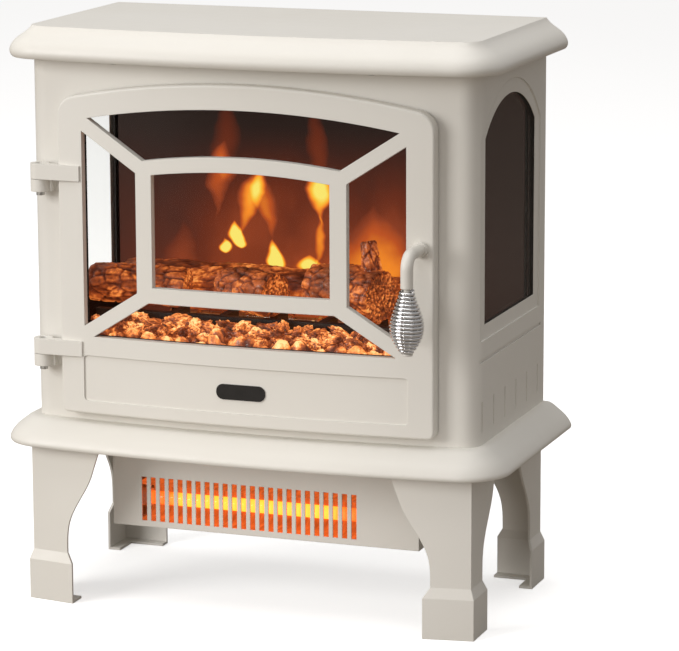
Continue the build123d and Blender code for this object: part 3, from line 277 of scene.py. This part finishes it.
def lit_quartz(centre_x, half_length):
    """Quartz tube full of light over its heated length, duller towards its cold ends."""
    g = Graph("quartz")
    split = g.add("ShaderNodeSeparateXYZ")
    g.join(g.place, split, "Vector")
    offset = g.sum("ABSOLUTE", g.sum("SUBTRACT", split.outputs["X"], centre_x))
    lit = g.span(offset, 0.62 * half_length, 0.78 * half_length, 4.3, 0.8, smooth=True)
    grain = g.span(g.noise(1.0, 2.0, g.stretched((350, 20, 20))), 0.3, 0.7, 0.93, 1.07)
    ripple = g.sum("MULTIPLY", lit, grain)
    g.set(Base_Color=(0.9, 0.45, 0.15), Roughness=0.1)
    return g.set(Emission_Color=TUBE_GLOW, Emission_Strength=ripple)


def lit_wire():
    """Resistance wire at orange heat."""
    g = Graph("hot_filament")
    tint = g.ramp(g.noise(300.0), [(0.3, (0.8, 0.25, 0.03)), (0.7, (1.0, 0.45, 0.08))])
    return g.set(Base_Color=tint, Roughness=0.5, Emission_Color=(1.0, 0.35, 0.04), Emission_Strength=6.0)


def lit_reflector():
    """Polished aluminium trough, fluted along its length, red with the tube's light."""
    g = Graph("polished_aluminium")
    flutes = g.noise(1.0, 2.0, g.stretched((260.0, 60.0, 60.0)))
    glow = g.span(flutes, 0.3, 0.7, 0.55, 1.1)
    # The dark red-brown base colour is painted shade and a painted red tint of the tube's light on the
    # aluminium; the emission is painted glow of that light, brighter on the flutes.
    g.set(Base_Color=(0.16, 0.09, 0.06), Metallic=1.0, Normal=g.bump(flutes, 0.5, 0.8 * MM))
    g.set(Roughness=g.span(g.noise(40.0), 0.3, 0.7, 0.18, 0.32))
    return g.set(Emission_Color=REFLECTOR_GLOW, Emission_Strength=glow)


# Colours of the projected fire, from the unlit screen to the heart of a flame.
FIRE = [
    (0.00, (0.019, 0.011, 0.009)),
    (0.16, (0.130, 0.022, 0.008)),
    (0.34, (0.270, 0.046, 0.014)),
    (0.50, (0.520, 0.085, 0.014)),
    (0.72, (1.000, 0.290, 0.022)),
    (0.88, (1.000, 0.560, 0.045)),
    (1.00, (1.000, 0.820, 0.160)),
]
TONGUE_SPREAD = 1.35
TONGUE_GAIN = 1.2
# Each tongue: foot x, foot z, tip x, tip z, half width, brightness, height of its belly (0 to 1).
TONGUES = [
    (-0.1105, 0.351, -0.100, 0.436, 0.0120, 0.36, 0.66),
    (-0.1010, 0.395, -0.094, 0.486, 0.0130, 0.12, 0.40),
    (-0.0860, 0.329, -0.062, 0.412, 0.0120, 0.50, 0.68),
    (-0.0450, 0.335, -0.066, 0.410, 0.0100, 0.30, 0.60),
    (-0.0850, 0.326, -0.090, 0.355, 0.0075, 1.00, 0.35),
    (-0.0990, 0.320, -0.101, 0.336, 0.0045, 0.85, 0.40),
    (-0.0440, 0.306, -0.046, 0.338, 0.0095, 1.05, 0.28),
    (0.0035, 0.352, 0.004, 0.412, 0.0115, 0.78, 0.66),
    (0.0020, 0.398, -0.003, 0.478, 0.0085, 0.13, 0.45),
    (0.0015, 0.314, 0.003, 0.366, 0.0045, 0.34, 0.50),
    (-0.0060, 0.306, -0.007, 0.324, 0.0120, 0.75, 0.30),
    (0.0600, 0.290, 0.064, 0.378, 0.0360, 0.26, 0.30),
    (-0.1500, 0.290, -0.146, 0.352, 0.0160, 0.14, 0.30),
    (0.1300, 0.290, 0.126, 0.400, 0.0140, 0.45, 0.40),
]


def fire_screen():
    """Dark screen that carries the moving light of the flames."""
    g = Graph("flame_screen")
    split = g.add("ShaderNodeSeparateXYZ")
    g.join(g.place, split, "Vector")
    across, height = split.outputs["X"], split.outputs["Z"]
    sway = g.noise(1.0, 2.0, g.stretched((22.0, 1.0, 34.0)))
    bent = g.sum("ADD", across, g.span(sway, 0.0, 1.0, -0.010, 0.010))
    haze = g.span(height, 0.300, 0.460, 0.42, 0.0, smooth=True)
    offset = g.sum("ABSOLUTE", g.sum("SUBTRACT", across, 0.02))
    middle = g.span(offset, 0.06, 0.20, 1.0, 0.25, smooth=True)
    clouds = g.span(g.noise(1.0, 4.0, g.stretched((16.0, 1.0, 12.0))), 0.3, 0.7, 0.55, 1.25)
    total = g.sum("MULTIPLY", g.sum("MULTIPLY", haze, middle), clouds)
    unlit_edge = g.span(across, 0.100, 0.145, 1.0, 0.04, smooth=True)
    for foot_x, foot_z, tip_x, tip_z, half_width, bright, belly in TONGUES:
        rise = g.span(height, foot_z, tip_z)
        shaped = g.sum("POWER", rise, math.log(0.5) / math.log(belly))
        swell = g.sum("SINE", g.sum("MULTIPLY", shaped, math.pi))
        centre = g.sum("MULTIPLY_ADD", rise, tip_x - foot_x)
        g.feed(centre.node, 2, foot_x)
        width = g.sum("MULTIPLY_ADD", swell, TONGUE_SPREAD * half_width)
        g.feed(width.node, 2, 0.0002)
        off = g.sum("DIVIDE", g.sum("SUBTRACT", bent, centre), width)
        falloff = g.sum("SUBTRACT", 1.0, g.sum("MULTIPLY", off, off), clamp=True)
        soft_ends = g.sum("POWER", g.sum("MAXIMUM", swell, 0.0), 0.7)
        tongue = g.sum("MULTIPLY", g.sum("MULTIPLY", falloff, soft_ends), TONGUE_GAIN * bright)
        total = g.sum("ADD", total, tongue)
    total = g.sum("MULTIPLY", total, unlit_edge)
    g.set(Base_Color=(0.010, 0.007, 0.006), Roughness=0.5, Specular_IOR_Level=0.10)
    return g.set(Emission_Color=g.ramp(total, FIRE), Emission_Strength=1.0)


LOG_GLOW = 0.9
EMBER_GLOW = 1.35


def lit_log():
    """Resin lit from below: dark in its cracks, amber where the light comes through."""
    g = Graph("log_resin")
    bark = g.attribute("bark")
    cut = g.attribute("cut")
    # heat holds the share of light that comes through the resin here: the glow below is painted light, not
    # heat.
    heat = g.attribute("lit_share")
    patches = g.noise(26.0, 4.0, distortion=0.6)
    fibres = g.noise(300.0, 4.0)
    skin = g.ramp(bark, [
        (0.05, (0.014, 0.005, 0.003)), (0.5, (0.16, 0.040, 0.014)), (1.0, (0.36, 0.120, 0.042)),
    ])
    wood = g.ramp(fibres, [(0.3, (0.22, 0.070, 0.020)), (0.7, (0.52, 0.22, 0.075))])
    base = g.add("ShaderNodeMix", data_type="RGBA")
    g.join(cut, base, "Factor")
    g.join(skin, base, "A")
    g.join(wood, base, "B")
    light = g.sum("MULTIPLY", g.span(patches, 0.34, 0.70, 0.22, 1.15), g.span(bark, 0.15, 0.85, 0.08, 1.0))
    light = g.sum("MULTIPLY", light, heat)
    sawn = g.sum("MULTIPLY", cut, g.span(fibres, 0.35, 0.7, 0.0, 0.42))
    light = g.sum("ADD", light, sawn)
    light = g.sum("MULTIPLY", light, g.span(fibres, 0.30, 0.60, 0.55, 1.1))
    glow = g.ramp(light, [
        (0.00, (0.012, 0.002, 0.001)), (0.22, (0.110, 0.017, 0.004)), (0.45, (0.400, 0.075, 0.014)),
        (0.70, (0.920, 0.260, 0.050)), (1.00, (1.000, 0.520, 0.140)),
    ])
    relief = g.bump(fibres, 0.5, 0.5 * MM)
    g.set(Base_Color=base.outputs["Result"], Roughness=0.5, Normal=relief, Coat_Weight=0.15)
    return g.set(Emission_Color=glow, Emission_Strength=LOG_GLOW)


def lit_embers():
    """Coals of the same resin lit from below, with patches of brighter painted glow light and a gritty
    skin.
    """
    g = Graph("ember_resin")
    bark = g.attribute("bark")
    # heat holds the share of painted glow light that comes through the resin here.
    heat = g.attribute("lit_share")
    patches = g.noise(60.0, 4.0, distortion=0.5)
    grit = g.noise(420.0, 4.0)
    base = g.ramp(bark, [
        (0.0, (0.008, 0.004, 0.003)), (0.5, (0.090, 0.026, 0.012)), (1.0, (0.34, 0.120, 0.050)),
    ])
    light = g.sum("MULTIPLY", g.span(patches, 0.34, 0.66, 0.25, 1.15), g.span(bark, 0.20, 0.9, 0.15, 1.2))
    light = g.sum("MULTIPLY", g.sum("MULTIPLY", light, heat), g.span(grit, 0.3, 0.65, 0.7, 1.25))
    glow = g.ramp(light, [
        (0.00, (0.012, 0.002, 0.001)), (0.18, (0.110, 0.020, 0.006)), (0.40, (0.420, 0.095, 0.022)),
        (0.65, (0.920, 0.300, 0.070)), (1.00, (1.000, 0.600, 0.240)),
    ])
    g.set(Base_Color=base, Roughness=0.42, Normal=g.bump(grit, 0.5, 0.5 * MM), Coat_Weight=0.25)
    return g.set(Emission_Color=glow, Emission_Strength=EMBER_GLOW)


tube_low, tube_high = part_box("quartz_tube")
FINISHES = {
    "ivory_paint": ivory_paint(),
    "zinc_steel": metal("zinc_steel", (0.62, 0.62, 0.60), 0.32),
    "chrome_wire": metal("chrome_wire", (0.86, 0.86, 0.87), 0.09, (90.0, 90.0, 500.0), 0.02),
    "dark_glass": pane("side_pane", (0.97, 0.97, 0.965), 0.05),
    "clear_glass": pane("door_pane", (0.975, 0.98, 0.975), 0.03),
    "black_steel": black_steel(),
    "dark_steel": dark_steel(),
    "flame_panel": fire_screen(),
    "black_plastic": plastic("black_plastic", (0.022, 0.022, 0.023), 0.5),
    "button_plastic": plastic("button_plastic", (0.075, 0.075, 0.078), 0.45),
    "rocker_plastic": plastic("rocker_plastic", (0.016, 0.016, 0.017), 0.25, 500.0),
    "gasket_rope": gasket_rope(),
    "badge_plate": enamel_black(),
    "polished_aluminium": lit_reflector(),
    "strip_foil": metal("strip_foil", (0.90, 0.90, 0.90), 0.12, (40.0, 40.0, 200.0), 0.1),
    "quartz": lit_quartz((tube_low.x + tube_high.x) / 2, (tube_high.x - tube_low.x) / 2),
    "hot_filament": lit_wire(),
    "white_ceramic": ceramic(),
    "bakelite": plastic("bakelite", (0.050, 0.022, 0.012), 0.35),
    "charcoal_grate": cast_iron(),
    "log_resin": lit_log(),
    "ember_resin": lit_embers(),
    "circuit_board": circuit_board(),
}
for node_name, piece in nodes.items():
    for material_slot in piece.material_slots:
        material_slot.material = FINISHES[slot_of[node_name]]


# ------------------------------------------------------------------ mesh helpers
def shown(name, mesh, slot, *stands_for):
    """A new piece of the stove body, finished in its slot's material."""
    piece = bpy.data.objects.new(name, mesh)
    bpy.context.scene.collection.objects.link(piece)
    mesh.materials.append(FINISHES[slot])
    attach(piece, "stove")
    if stands_for:
        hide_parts(*stands_for)
    return piece


def mesh_from(name, points, faces, attributes):
    """A smooth mesh with one float attribute for each entry of attributes."""
    mesh = bpy.data.meshes.new(name)
    mesh.from_pydata([tuple(p) for p in points], [], faces)
    for key, values in attributes.items():
        mesh.attributes.new(key, "FLOAT", "POINT").data.foreach_set("value", values)
    mesh.validate()
    mesh.shade_smooth()
    return mesh


def ridged(point):
    """From 0 in a crease to 1 on a ridge."""
    return 1.0 - min(1.0, 2.2 * abs(noise.noise(point)))


# ------------------------------------------------------------------ logs
LOG_RINGS = 110
LOG_SIDES = 96
CUT_RINGS = 12
SAWN_CHAMFER = 1.2 * MM
SAWN_CHAMFER_LENGTH = 1.5 * MM


def glow_light_at(point):
    """How much light reaches this point of the fire bed: most at the middle and low down."""
    side = max(0.0, 1.0 - (abs(point.x + 0.01) / 0.26) ** 2)
    low = max(0.0, min(1.0, (0.345 - point.z) / 0.050))
    return 0.50 + 0.42 * side * (0.55 + 0.45 * low)


def bark_relief(along, angle, radius, seed):
    """(lift in metres, bark value 0 to 1) of the bark at one point of a log."""
    around = Vector((0.0, math.cos(angle), math.sin(angle)))
    shift = Vector((seed, 0.37 * seed, -seed))
    lump = noise.fractal(around * 1.3 + Vector((along * 30.0, 0, 0)) + shift, 1.0, 2.0, 3)
    fibre = ridged(around * radius * 260.0 + Vector((along * 48.0, 0, 0)) + shift)
    plate = noise.voronoi(around * radius * 105.0 + Vector((along * 62.0, 0, 0)) + shift)[0]
    crack = min(1.0, 5.0 * (plate[1] - plate[0]))
    grain = noise.fractal(around * radius * 500.0 + Vector((along * 220.0, 0, 0)) + shift, 0.8, 2.1, 3)
    lift = 0.085 * radius * lump + 0.0010 * (fibre - 0.5) - 0.0017 * (1.0 - crack) + 0.0004 * grain
    value = 0.45 * crack + 0.30 * fibre + 0.25 * (0.5 + 0.5 * grain)
    return lift, max(0.0, min(1.0, value))


def rough_log(name, start, end, radii, seed, sag=0.0):
    """A branch with cracked bark from start to end and a sawn face at each end."""
    start, end = Vector(start), Vector(end)
    axis = (end - start).normalized()
    side = axis.cross(Vector((0, 0, 1))).normalized()
    up = side.cross(axis).normalized()
    length = (end - start).length
    points, bark, cut, heat = [], [], [], []

    def put(point, bark_value, cut_value):
        points.append(point)
        bark.append(bark_value)
        cut.append(cut_value)
        # heat collects the share of painted glow light at each point.
        heat.append(glow_light_at(point))

    for ring in range(LOG_RINGS + 1):
        share = ring / LOG_RINGS
        along = share * length
        spot = share * (len(radii) - 1)
        low = min(int(spot), len(radii) - 2)
        radius = radii[low] + (radii[low + 1] - radii[low]) * (spot - low)
        centre = start.lerp(end, share) + up * sag * math.sin(math.pi * share)
        edge = min(along, length - along)
        chamfer = SAWN_CHAMFER * max(0.0, 1.0 - edge / SAWN_CHAMFER_LENGTH)
        for step in range(LOG_SIDES):
            angle = 2 * math.pi * step / LOG_SIDES
            lift, value = bark_relief(along, angle, radius, seed)
            reach = radius + lift - chamfer
            put(centre + (side * math.cos(angle) + up * math.sin(angle)) * reach, value, 0.0)
    faces = []
    for ring in range(LOG_RINGS):
        for step in range(LOG_SIDES):
            a = ring * LOG_SIDES + step
            b = ring * LOG_SIDES + (step + 1) % LOG_SIDES
            faces.append((a, b, b + LOG_SIDES, a + LOG_SIDES))
    for first, outward, flip in ((0, -axis, True), (LOG_RINGS * LOG_SIDES, axis, False)):
        rim = list(range(first, first + LOG_SIDES))
        centre = sum((points[i] for i in rim), Vector()) / LOG_SIDES
        rim_points = [points[i].copy() for i in rim]
        previous = rim
        for ring in range(1, CUT_RINGS):
            share = 1.0 - ring / CUT_RINGS
            current = []
            for step in range(LOG_SIDES):
                angle = 2 * math.pi * step / LOG_SIDES
                spoke = ridged(Vector((7 * math.cos(angle), 7 * math.sin(angle), share + seed)))
                rings = math.sin(42.0 * share + 2.0 * noise.noise(Vector((seed, 3 * share, angle))))
                level = 0.0006 * rings - 0.0009 * (spoke > 0.86) - 0.0008 * (1 - share)
                current.append(len(points))
                spot = centre.lerp(rim_points[step], share) + outward * level
                put(spot, 0.55 + 0.35 * rings - 0.5 * (spoke > 0.86), min(1.0, 6 * (1 - share)))
            for step in range(LOG_SIDES):
                after = (step + 1) % LOG_SIDES
                quad = (previous[step], previous[after], current[after], current[step])
                faces.append(quad[::-1] if not flip else quad)
            previous = current
        middle = len(points)
        put(centre - outward * 0.001, 0.3, 1.0)
        for step in range(LOG_SIDES):
            after = (step + 1) % LOG_SIDES
            face = (previous[step], previous[after], middle)
            faces.append(face[::-1] if not flip else face)
    mesh = mesh_from(name, points, faces, {"bark": bark, "cut": cut, "lit_share": heat})
    return shown(name, mesh, "log_resin", name)


grate_low, grate_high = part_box("grate")
LOG_SEAT = grate_high.z
back_low, back_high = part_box("log_back")
back_y = (back_low.y + back_high.y) / 2
back_z = (back_low.z + back_high.z) / 2
rough_log("log_back", (back_low.x, back_y + 0.002, back_z), (back_high.x, back_y - 0.002, back_z - 0.003),
          (0.0235, 0.0245, 0.0225, 0.0230, 0.0220, 0.0215), 3.1, 0.002)
rough_log("log_left", (-0.198, 0.0015, LOG_SEAT + 0.0212), (-0.098, 0.0095, LOG_SEAT + 0.0205),
          (0.0185, 0.0200, 0.0190, 0.0190), 11.7, 0.001)
rough_log("log_middle", (-0.058, 0.0115, LOG_SEAT + 0.0238), (0.004, -0.0165, LOG_SEAT + 0.0238),
          (0.0195, 0.0215, 0.0220, 0.0210), 23.9)
rough_log("log_right", (0.034, 0.0155, LOG_SEAT + 0.0280), (0.112, -0.0145, LOG_SEAT + 0.0280),
          (0.0225, 0.0255, 0.0262, 0.0250), 37.3)
rough_log("log_stub", (0.100, -0.004, LOG_SEAT + 0.046), (0.094, 0.000, LOG_SEAT + 0.079),
          (0.0100, 0.0090, 0.0080), 41.2)


# ------------------------------------------------------------------ ember bed
EMBER_COLUMNS = 300
EMBER_ROWS = 104
tray_low, tray_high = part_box("ember_bed")
EMBER_FLOOR = tray_low.z
EMBER_BASE = grate_low.z - 0.010


def ember_height(x, y):
    """(height, bark value) of the bed of coals."""
    front = max(0.0, min(1.0, (grate_low.y - 0.006 - y) / 0.012))
    cell = noise.voronoi(Vector((x * 62.0, y * 78.0, 1.7)))
    near, second = cell[0][0], cell[0][1]
    dome = max(0.0, 1.0 - (near / 0.62) ** 2)
    crack = min(1.0, 4.0 * (second - near))
    tone = noise.noise(cell[1][0] * 3.1)
    rough = noise.fractal(Vector((x * 260.0, y * 260.0, 0.4)), 0.9, 2.0, 4)
    tall = 0.0050 + 0.0045 * (0.5 + tone) + 0.0085 * front * (0.7 + 0.6 * tone)
    level = EMBER_BASE + tall * (0.35 + 0.65 * dome) - 0.0022 * (1 - crack) + 0.0010 * rough
    ceiling = EMBER_BASE + 0.0185 if front > 0.5 else grate_low.z - 0.0006
    # The bark value is lower in the cracks between coals and higher on their domes: it darkens the cracks
    # and lightens the domes in colour, and sets how much painted glow light they get.
    return min(level, ceiling), 0.5 * crack + 0.3 * dome + 0.2 * (0.5 + rough)


def ember_bed():
    points, bark, heat = [], [], []
    for row in range(EMBER_ROWS + 1):
        for column in range(EMBER_COLUMNS + 1):
            x = tray_low.x + (tray_high.x - tray_low.x) * column / EMBER_COLUMNS
            y = tray_low.y + (tray_high.y - tray_low.y) * row / EMBER_ROWS
            z, value = ember_height(x, y)
            points.append(Vector((x, y, z)))
            bark.append(max(0.0, min(1.0, value)))
            # Painted glow light: brightest in the middle of the bed, dimmer towards its ends.
            heat.append(max(0.25, 1.05 - (abs(x - 0.01) / 0.20) ** 2 * 0.55))
    width = EMBER_COLUMNS + 1
    faces = []
    for row in range(EMBER_ROWS):
        for column in range(EMBER_COLUMNS):
            a = row * width + column
            faces.append((a, a + 1, a + 1 + width, a + width))
    border = list(range(width))
    border += [row * width + EMBER_COLUMNS for row in range(1, EMBER_ROWS + 1)]
    border += [EMBER_ROWS * width + column for column in range(EMBER_COLUMNS - 1, -1, -1)]
    border += [row * width for row in range(EMBER_ROWS - 1, 0, -1)]
    skirt = []
    for index in border:
        skirt.append(len(points))
        points.append(Vector((points[index].x, points[index].y, EMBER_FLOOR)))
        bark.append(0.2)
        heat.append(0.3)
    for step, index in enumerate(border):
        after = (step + 1) % len(border)
        faces.append((index, skirt[step], skirt[after], border[after]))
    faces.append(tuple(reversed(skirt)))
    mesh = mesh_from("ember_bed", points, faces, {"bark": bark, "lit_share": heat})
    return shown("ember_bed", mesh, "ember_resin", "ember_bed")


ember_bed()
CHIP_COUNT = 74
CHIP_LAYERS = 3
CHIP_LAYER_RISE = 5.5 * MM
CHIP_MARGIN = 16 * MM


def ember_chips():
    """Loose charred chips heaped along the front of the bed."""
    dice = random.Random(7)
    points, faces, bark, heat = [], [], [], []
    for index in range(CHIP_COUNT * CHIP_LAYERS):
        layer = index // CHIP_COUNT
        ball = bmesh.new()
        bmesh.ops.create_icosphere(ball, subdivisions=4, radius=1.0)
        size = Vector((dice.uniform(6.0, 13.0), dice.uniform(4.0, 7.0), dice.uniform(3.5, 6.5))) * MM
        share = (index % CHIP_COUNT + 0.5 + dice.uniform(-0.4, 0.4)) / CHIP_COUNT
        spot_x = tray_low.x + CHIP_MARGIN + (tray_high.x - tray_low.x - 2 * CHIP_MARGIN) * share
        nearest = tray_low.y + 0.013 + 0.25 * layer * (grate_low.y - 0.011 - tray_low.y - 0.013)
        spot_y = dice.uniform(nearest, grate_low.y - 0.011)
        tilt = (dice.uniform(-0.5, 0.5), dice.uniform(-0.5, 0.5), dice.uniform(-1.2, 1.2))
        turn = Euler(tilt).to_matrix()
        base, _ = ember_height(spot_x, spot_y)
        centre = Vector((spot_x, spot_y, base + CHIP_LAYER_RISE * layer + dice.uniform(-0.001, 0.0025)))
        # Share of painted glow light for this chip.
        chip_glow = dice.uniform(0.45, 1.35)
        first = len(points)
        for vertex in ball.verts:
            raw = vertex.co.normalized()
            seed = Vector((index * 3.3, 0, 0))
            facet = noise.voronoi(raw * 1.5 + seed)[0]
            rough = noise.fractal(raw * 2.4 + seed, 0.9, 2.0, 4)
            reach = 0.82 + 0.30 * rough + 0.22 * facet[0]
            flat = Vector((raw.x * reach * size.x, raw.y * reach * size.y, raw.z * reach * size.z))
            points.append(centre + turn @ flat)
            # Tops of the chips are painted lighter in colour and get more painted glow light (raw.z).
            ridge = ridged(raw * 4.0 + seed)
            bark.append(max(0.0, min(1.0, 0.25 + 0.45 * ridge + 0.35 * rough + 0.2 * raw.z)))
            heat.append(chip_glow * (0.7 + 0.3 * raw.z))
        for face in ball.faces:
            faces.append(tuple(first + vertex.index for vertex in face.verts))
        ball.free()
    mesh = mesh_from("ember_chips", points, faces, {"bark": bark, "lit_share": heat})
    return shown("ember_chips", mesh, "ember_resin")


ember_chips()


# ------------------------------------------------------------------ heating wire
WIRE_TURNS = 84
WIRE_POINTS_PER_TURN = 12
WIRE_RADIUS = 0.35 * MM


def heating_wire():
    """Wound resistance wire inside the quartz tube."""
    low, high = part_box("filament")
    wire_radius = WIRE_RADIUS
    coil_radius = (high.z - low.z) / 2 - wire_radius
    centre = (low + high) / 2
    curve = bpy.data.curves.new("filament_line", "CURVE")
    curve.dimensions = "3D"
    curve.bevel_depth = wire_radius
    curve.bevel_resolution = 2
    line = curve.splines.new("POLY")
    count = WIRE_TURNS * WIRE_POINTS_PER_TURN
    line.points.add(count)
    for step in range(count + 1):
        share = step / count
        angle = 2 * math.pi * WIRE_TURNS * share
        x = low.x + wire_radius + (high.x - low.x - 2 * wire_radius) * share
        spot = (x, centre.y + coil_radius * math.cos(angle), centre.z + coil_radius * math.sin(angle), 1.0)
        line.points[step].co = spot
    holder = bpy.data.objects.new("filament_line", curve)
    bpy.context.scene.collection.objects.link(holder)
    mesh = bpy.data.meshes.new_from_object(holder.evaluated_get(bpy.context.evaluated_depsgraph_get()))
    bpy.data.objects.remove(holder)
    mesh.name = "filament_coil"
    mesh.materials.clear()
    mesh.shade_smooth()
    return shown("filament_coil", mesh, "hot_filament", "filament")


heating_wire()

# ------------------------------------------------------------------ floor, lights and camera
STAGE_SIZE = 60.0
FLOOR_BOUNCE = (0.30, 0.26, 0.22, 1.0)
FLOOR_SEEN = (0.96, 0.96, 0.96, 1.0)
WORLD_COLOUR = (1.0, 0.98, 0.96, 1.0)
WORLD_STRENGTH = 0.38
CAMERA_SPOT = (1.1702, -3.0383, 0.9355)
CAMERA_YAW = 20.0
CAMERA_DIP = 11.5
CAMERA_ROLL = -0.2


def pale_floor():
    """White floor. Rays that bounce see it greyer, so that it doesn't fill the shaded sides."""
    g = Graph("pale_floor")
    path = g.add("ShaderNodeLightPath")
    tone = g.add("ShaderNodeMix", data_type="RGBA")
    g.join(path.outputs["Is Camera Ray"], tone, "Factor")
    tone.inputs["A"].default_value = FLOOR_BOUNCE
    tone.inputs["B"].default_value = FLOOR_SEEN
    cloud = g.span(g.noise(0.7, 2.0), 0.3, 0.7, 0.525, 0.535)
    lift = g.sum("MULTIPLY", path.outputs["Is Camera Ray"], cloud)
    g.set(Emission_Color=(1.0, 1.0, 1.0), Emission_Strength=lift)
    return g.set(Base_Color=tone.outputs["Result"], Roughness=0.9, Specular_IOR_Level=0.0)


floor_mesh = bpy.data.meshes.new("floor")
half = STAGE_SIZE / 2
corners = [(-half, -half, 0), (half, -half, 0), (half, half, 0), (-half, half, 0)]
floor_mesh.from_pydata(corners, [], [(0, 1, 2, 3)])
floor_mesh.materials.append(pale_floor())
floor = bpy.data.objects.new("floor", floor_mesh)
bpy.context.scene.collection.objects.link(floor)


def softbox(name, spot, aim, size, power, colour, spread=math.pi):
    light = bpy.data.lights.new(name, "AREA")
    light.shape = "RECTANGLE"
    light.size, light.size_y = size
    light.energy = power
    light.color = colour
    light.spread = spread
    holder = bpy.data.objects.new(name, light)
    holder.location = spot
    holder.rotation_euler = (Vector(aim) - Vector(spot)).to_track_quat("-Z", "Y").to_euler()
    bpy.context.scene.collection.objects.link(holder)


CENTRE = (0.0, 0.0, 0.30)
softbox("key", (-2.3, -2.7, 1.5), CENTRE, (2.0, 2.0), 80.0, (1.0, 0.985, 0.965))
softbox("overhead", (0.0, -0.3, 2.9), CENTRE, (2.4, 2.4), 36.0, (1.0, 0.99, 0.98))
softbox("low", (0.0, -2.5, 0.18), (0.0, 0.0, 0.09), (0.3, 0.3), 0.1, (1.0, 0.96, 0.93), 0.3)
softbox("fill", (2.6, -2.2, 1.0), CENTRE, (1.0, 1.6), 3.0, (1.0, 0.96, 0.92))

world = bpy.data.worlds.new("studio")
world.use_nodes = True
world.node_tree.nodes["Background"].inputs["Color"].default_value = WORLD_COLOUR
world.node_tree.nodes["Background"].inputs["Strength"].default_value = WORLD_STRENGTH
bpy.context.scene.world = world
bpy.context.scene.view_settings.view_transform = "Standard"

camera_data = bpy.data.cameras.new("camera")
camera_data.sensor_width = 36.0
camera_data.lens = 180.1
camera_data.clip_end = 100.0
camera = bpy.data.objects.new("camera", camera_data)
camera.location = CAMERA_SPOT
turn = Matrix.Rotation(math.radians(CAMERA_YAW), 4, "Z")
turn = turn @ Matrix.Rotation(math.radians(90.0 - CAMERA_DIP), 4, "X")
turn = turn @ Matrix.Rotation(math.radians(CAMERA_ROLL), 4, "Z")
camera.rotation_euler = turn.to_euler()
bpy.context.scene.collection.objects.link(camera)
bpy.context.scene.camera = camera
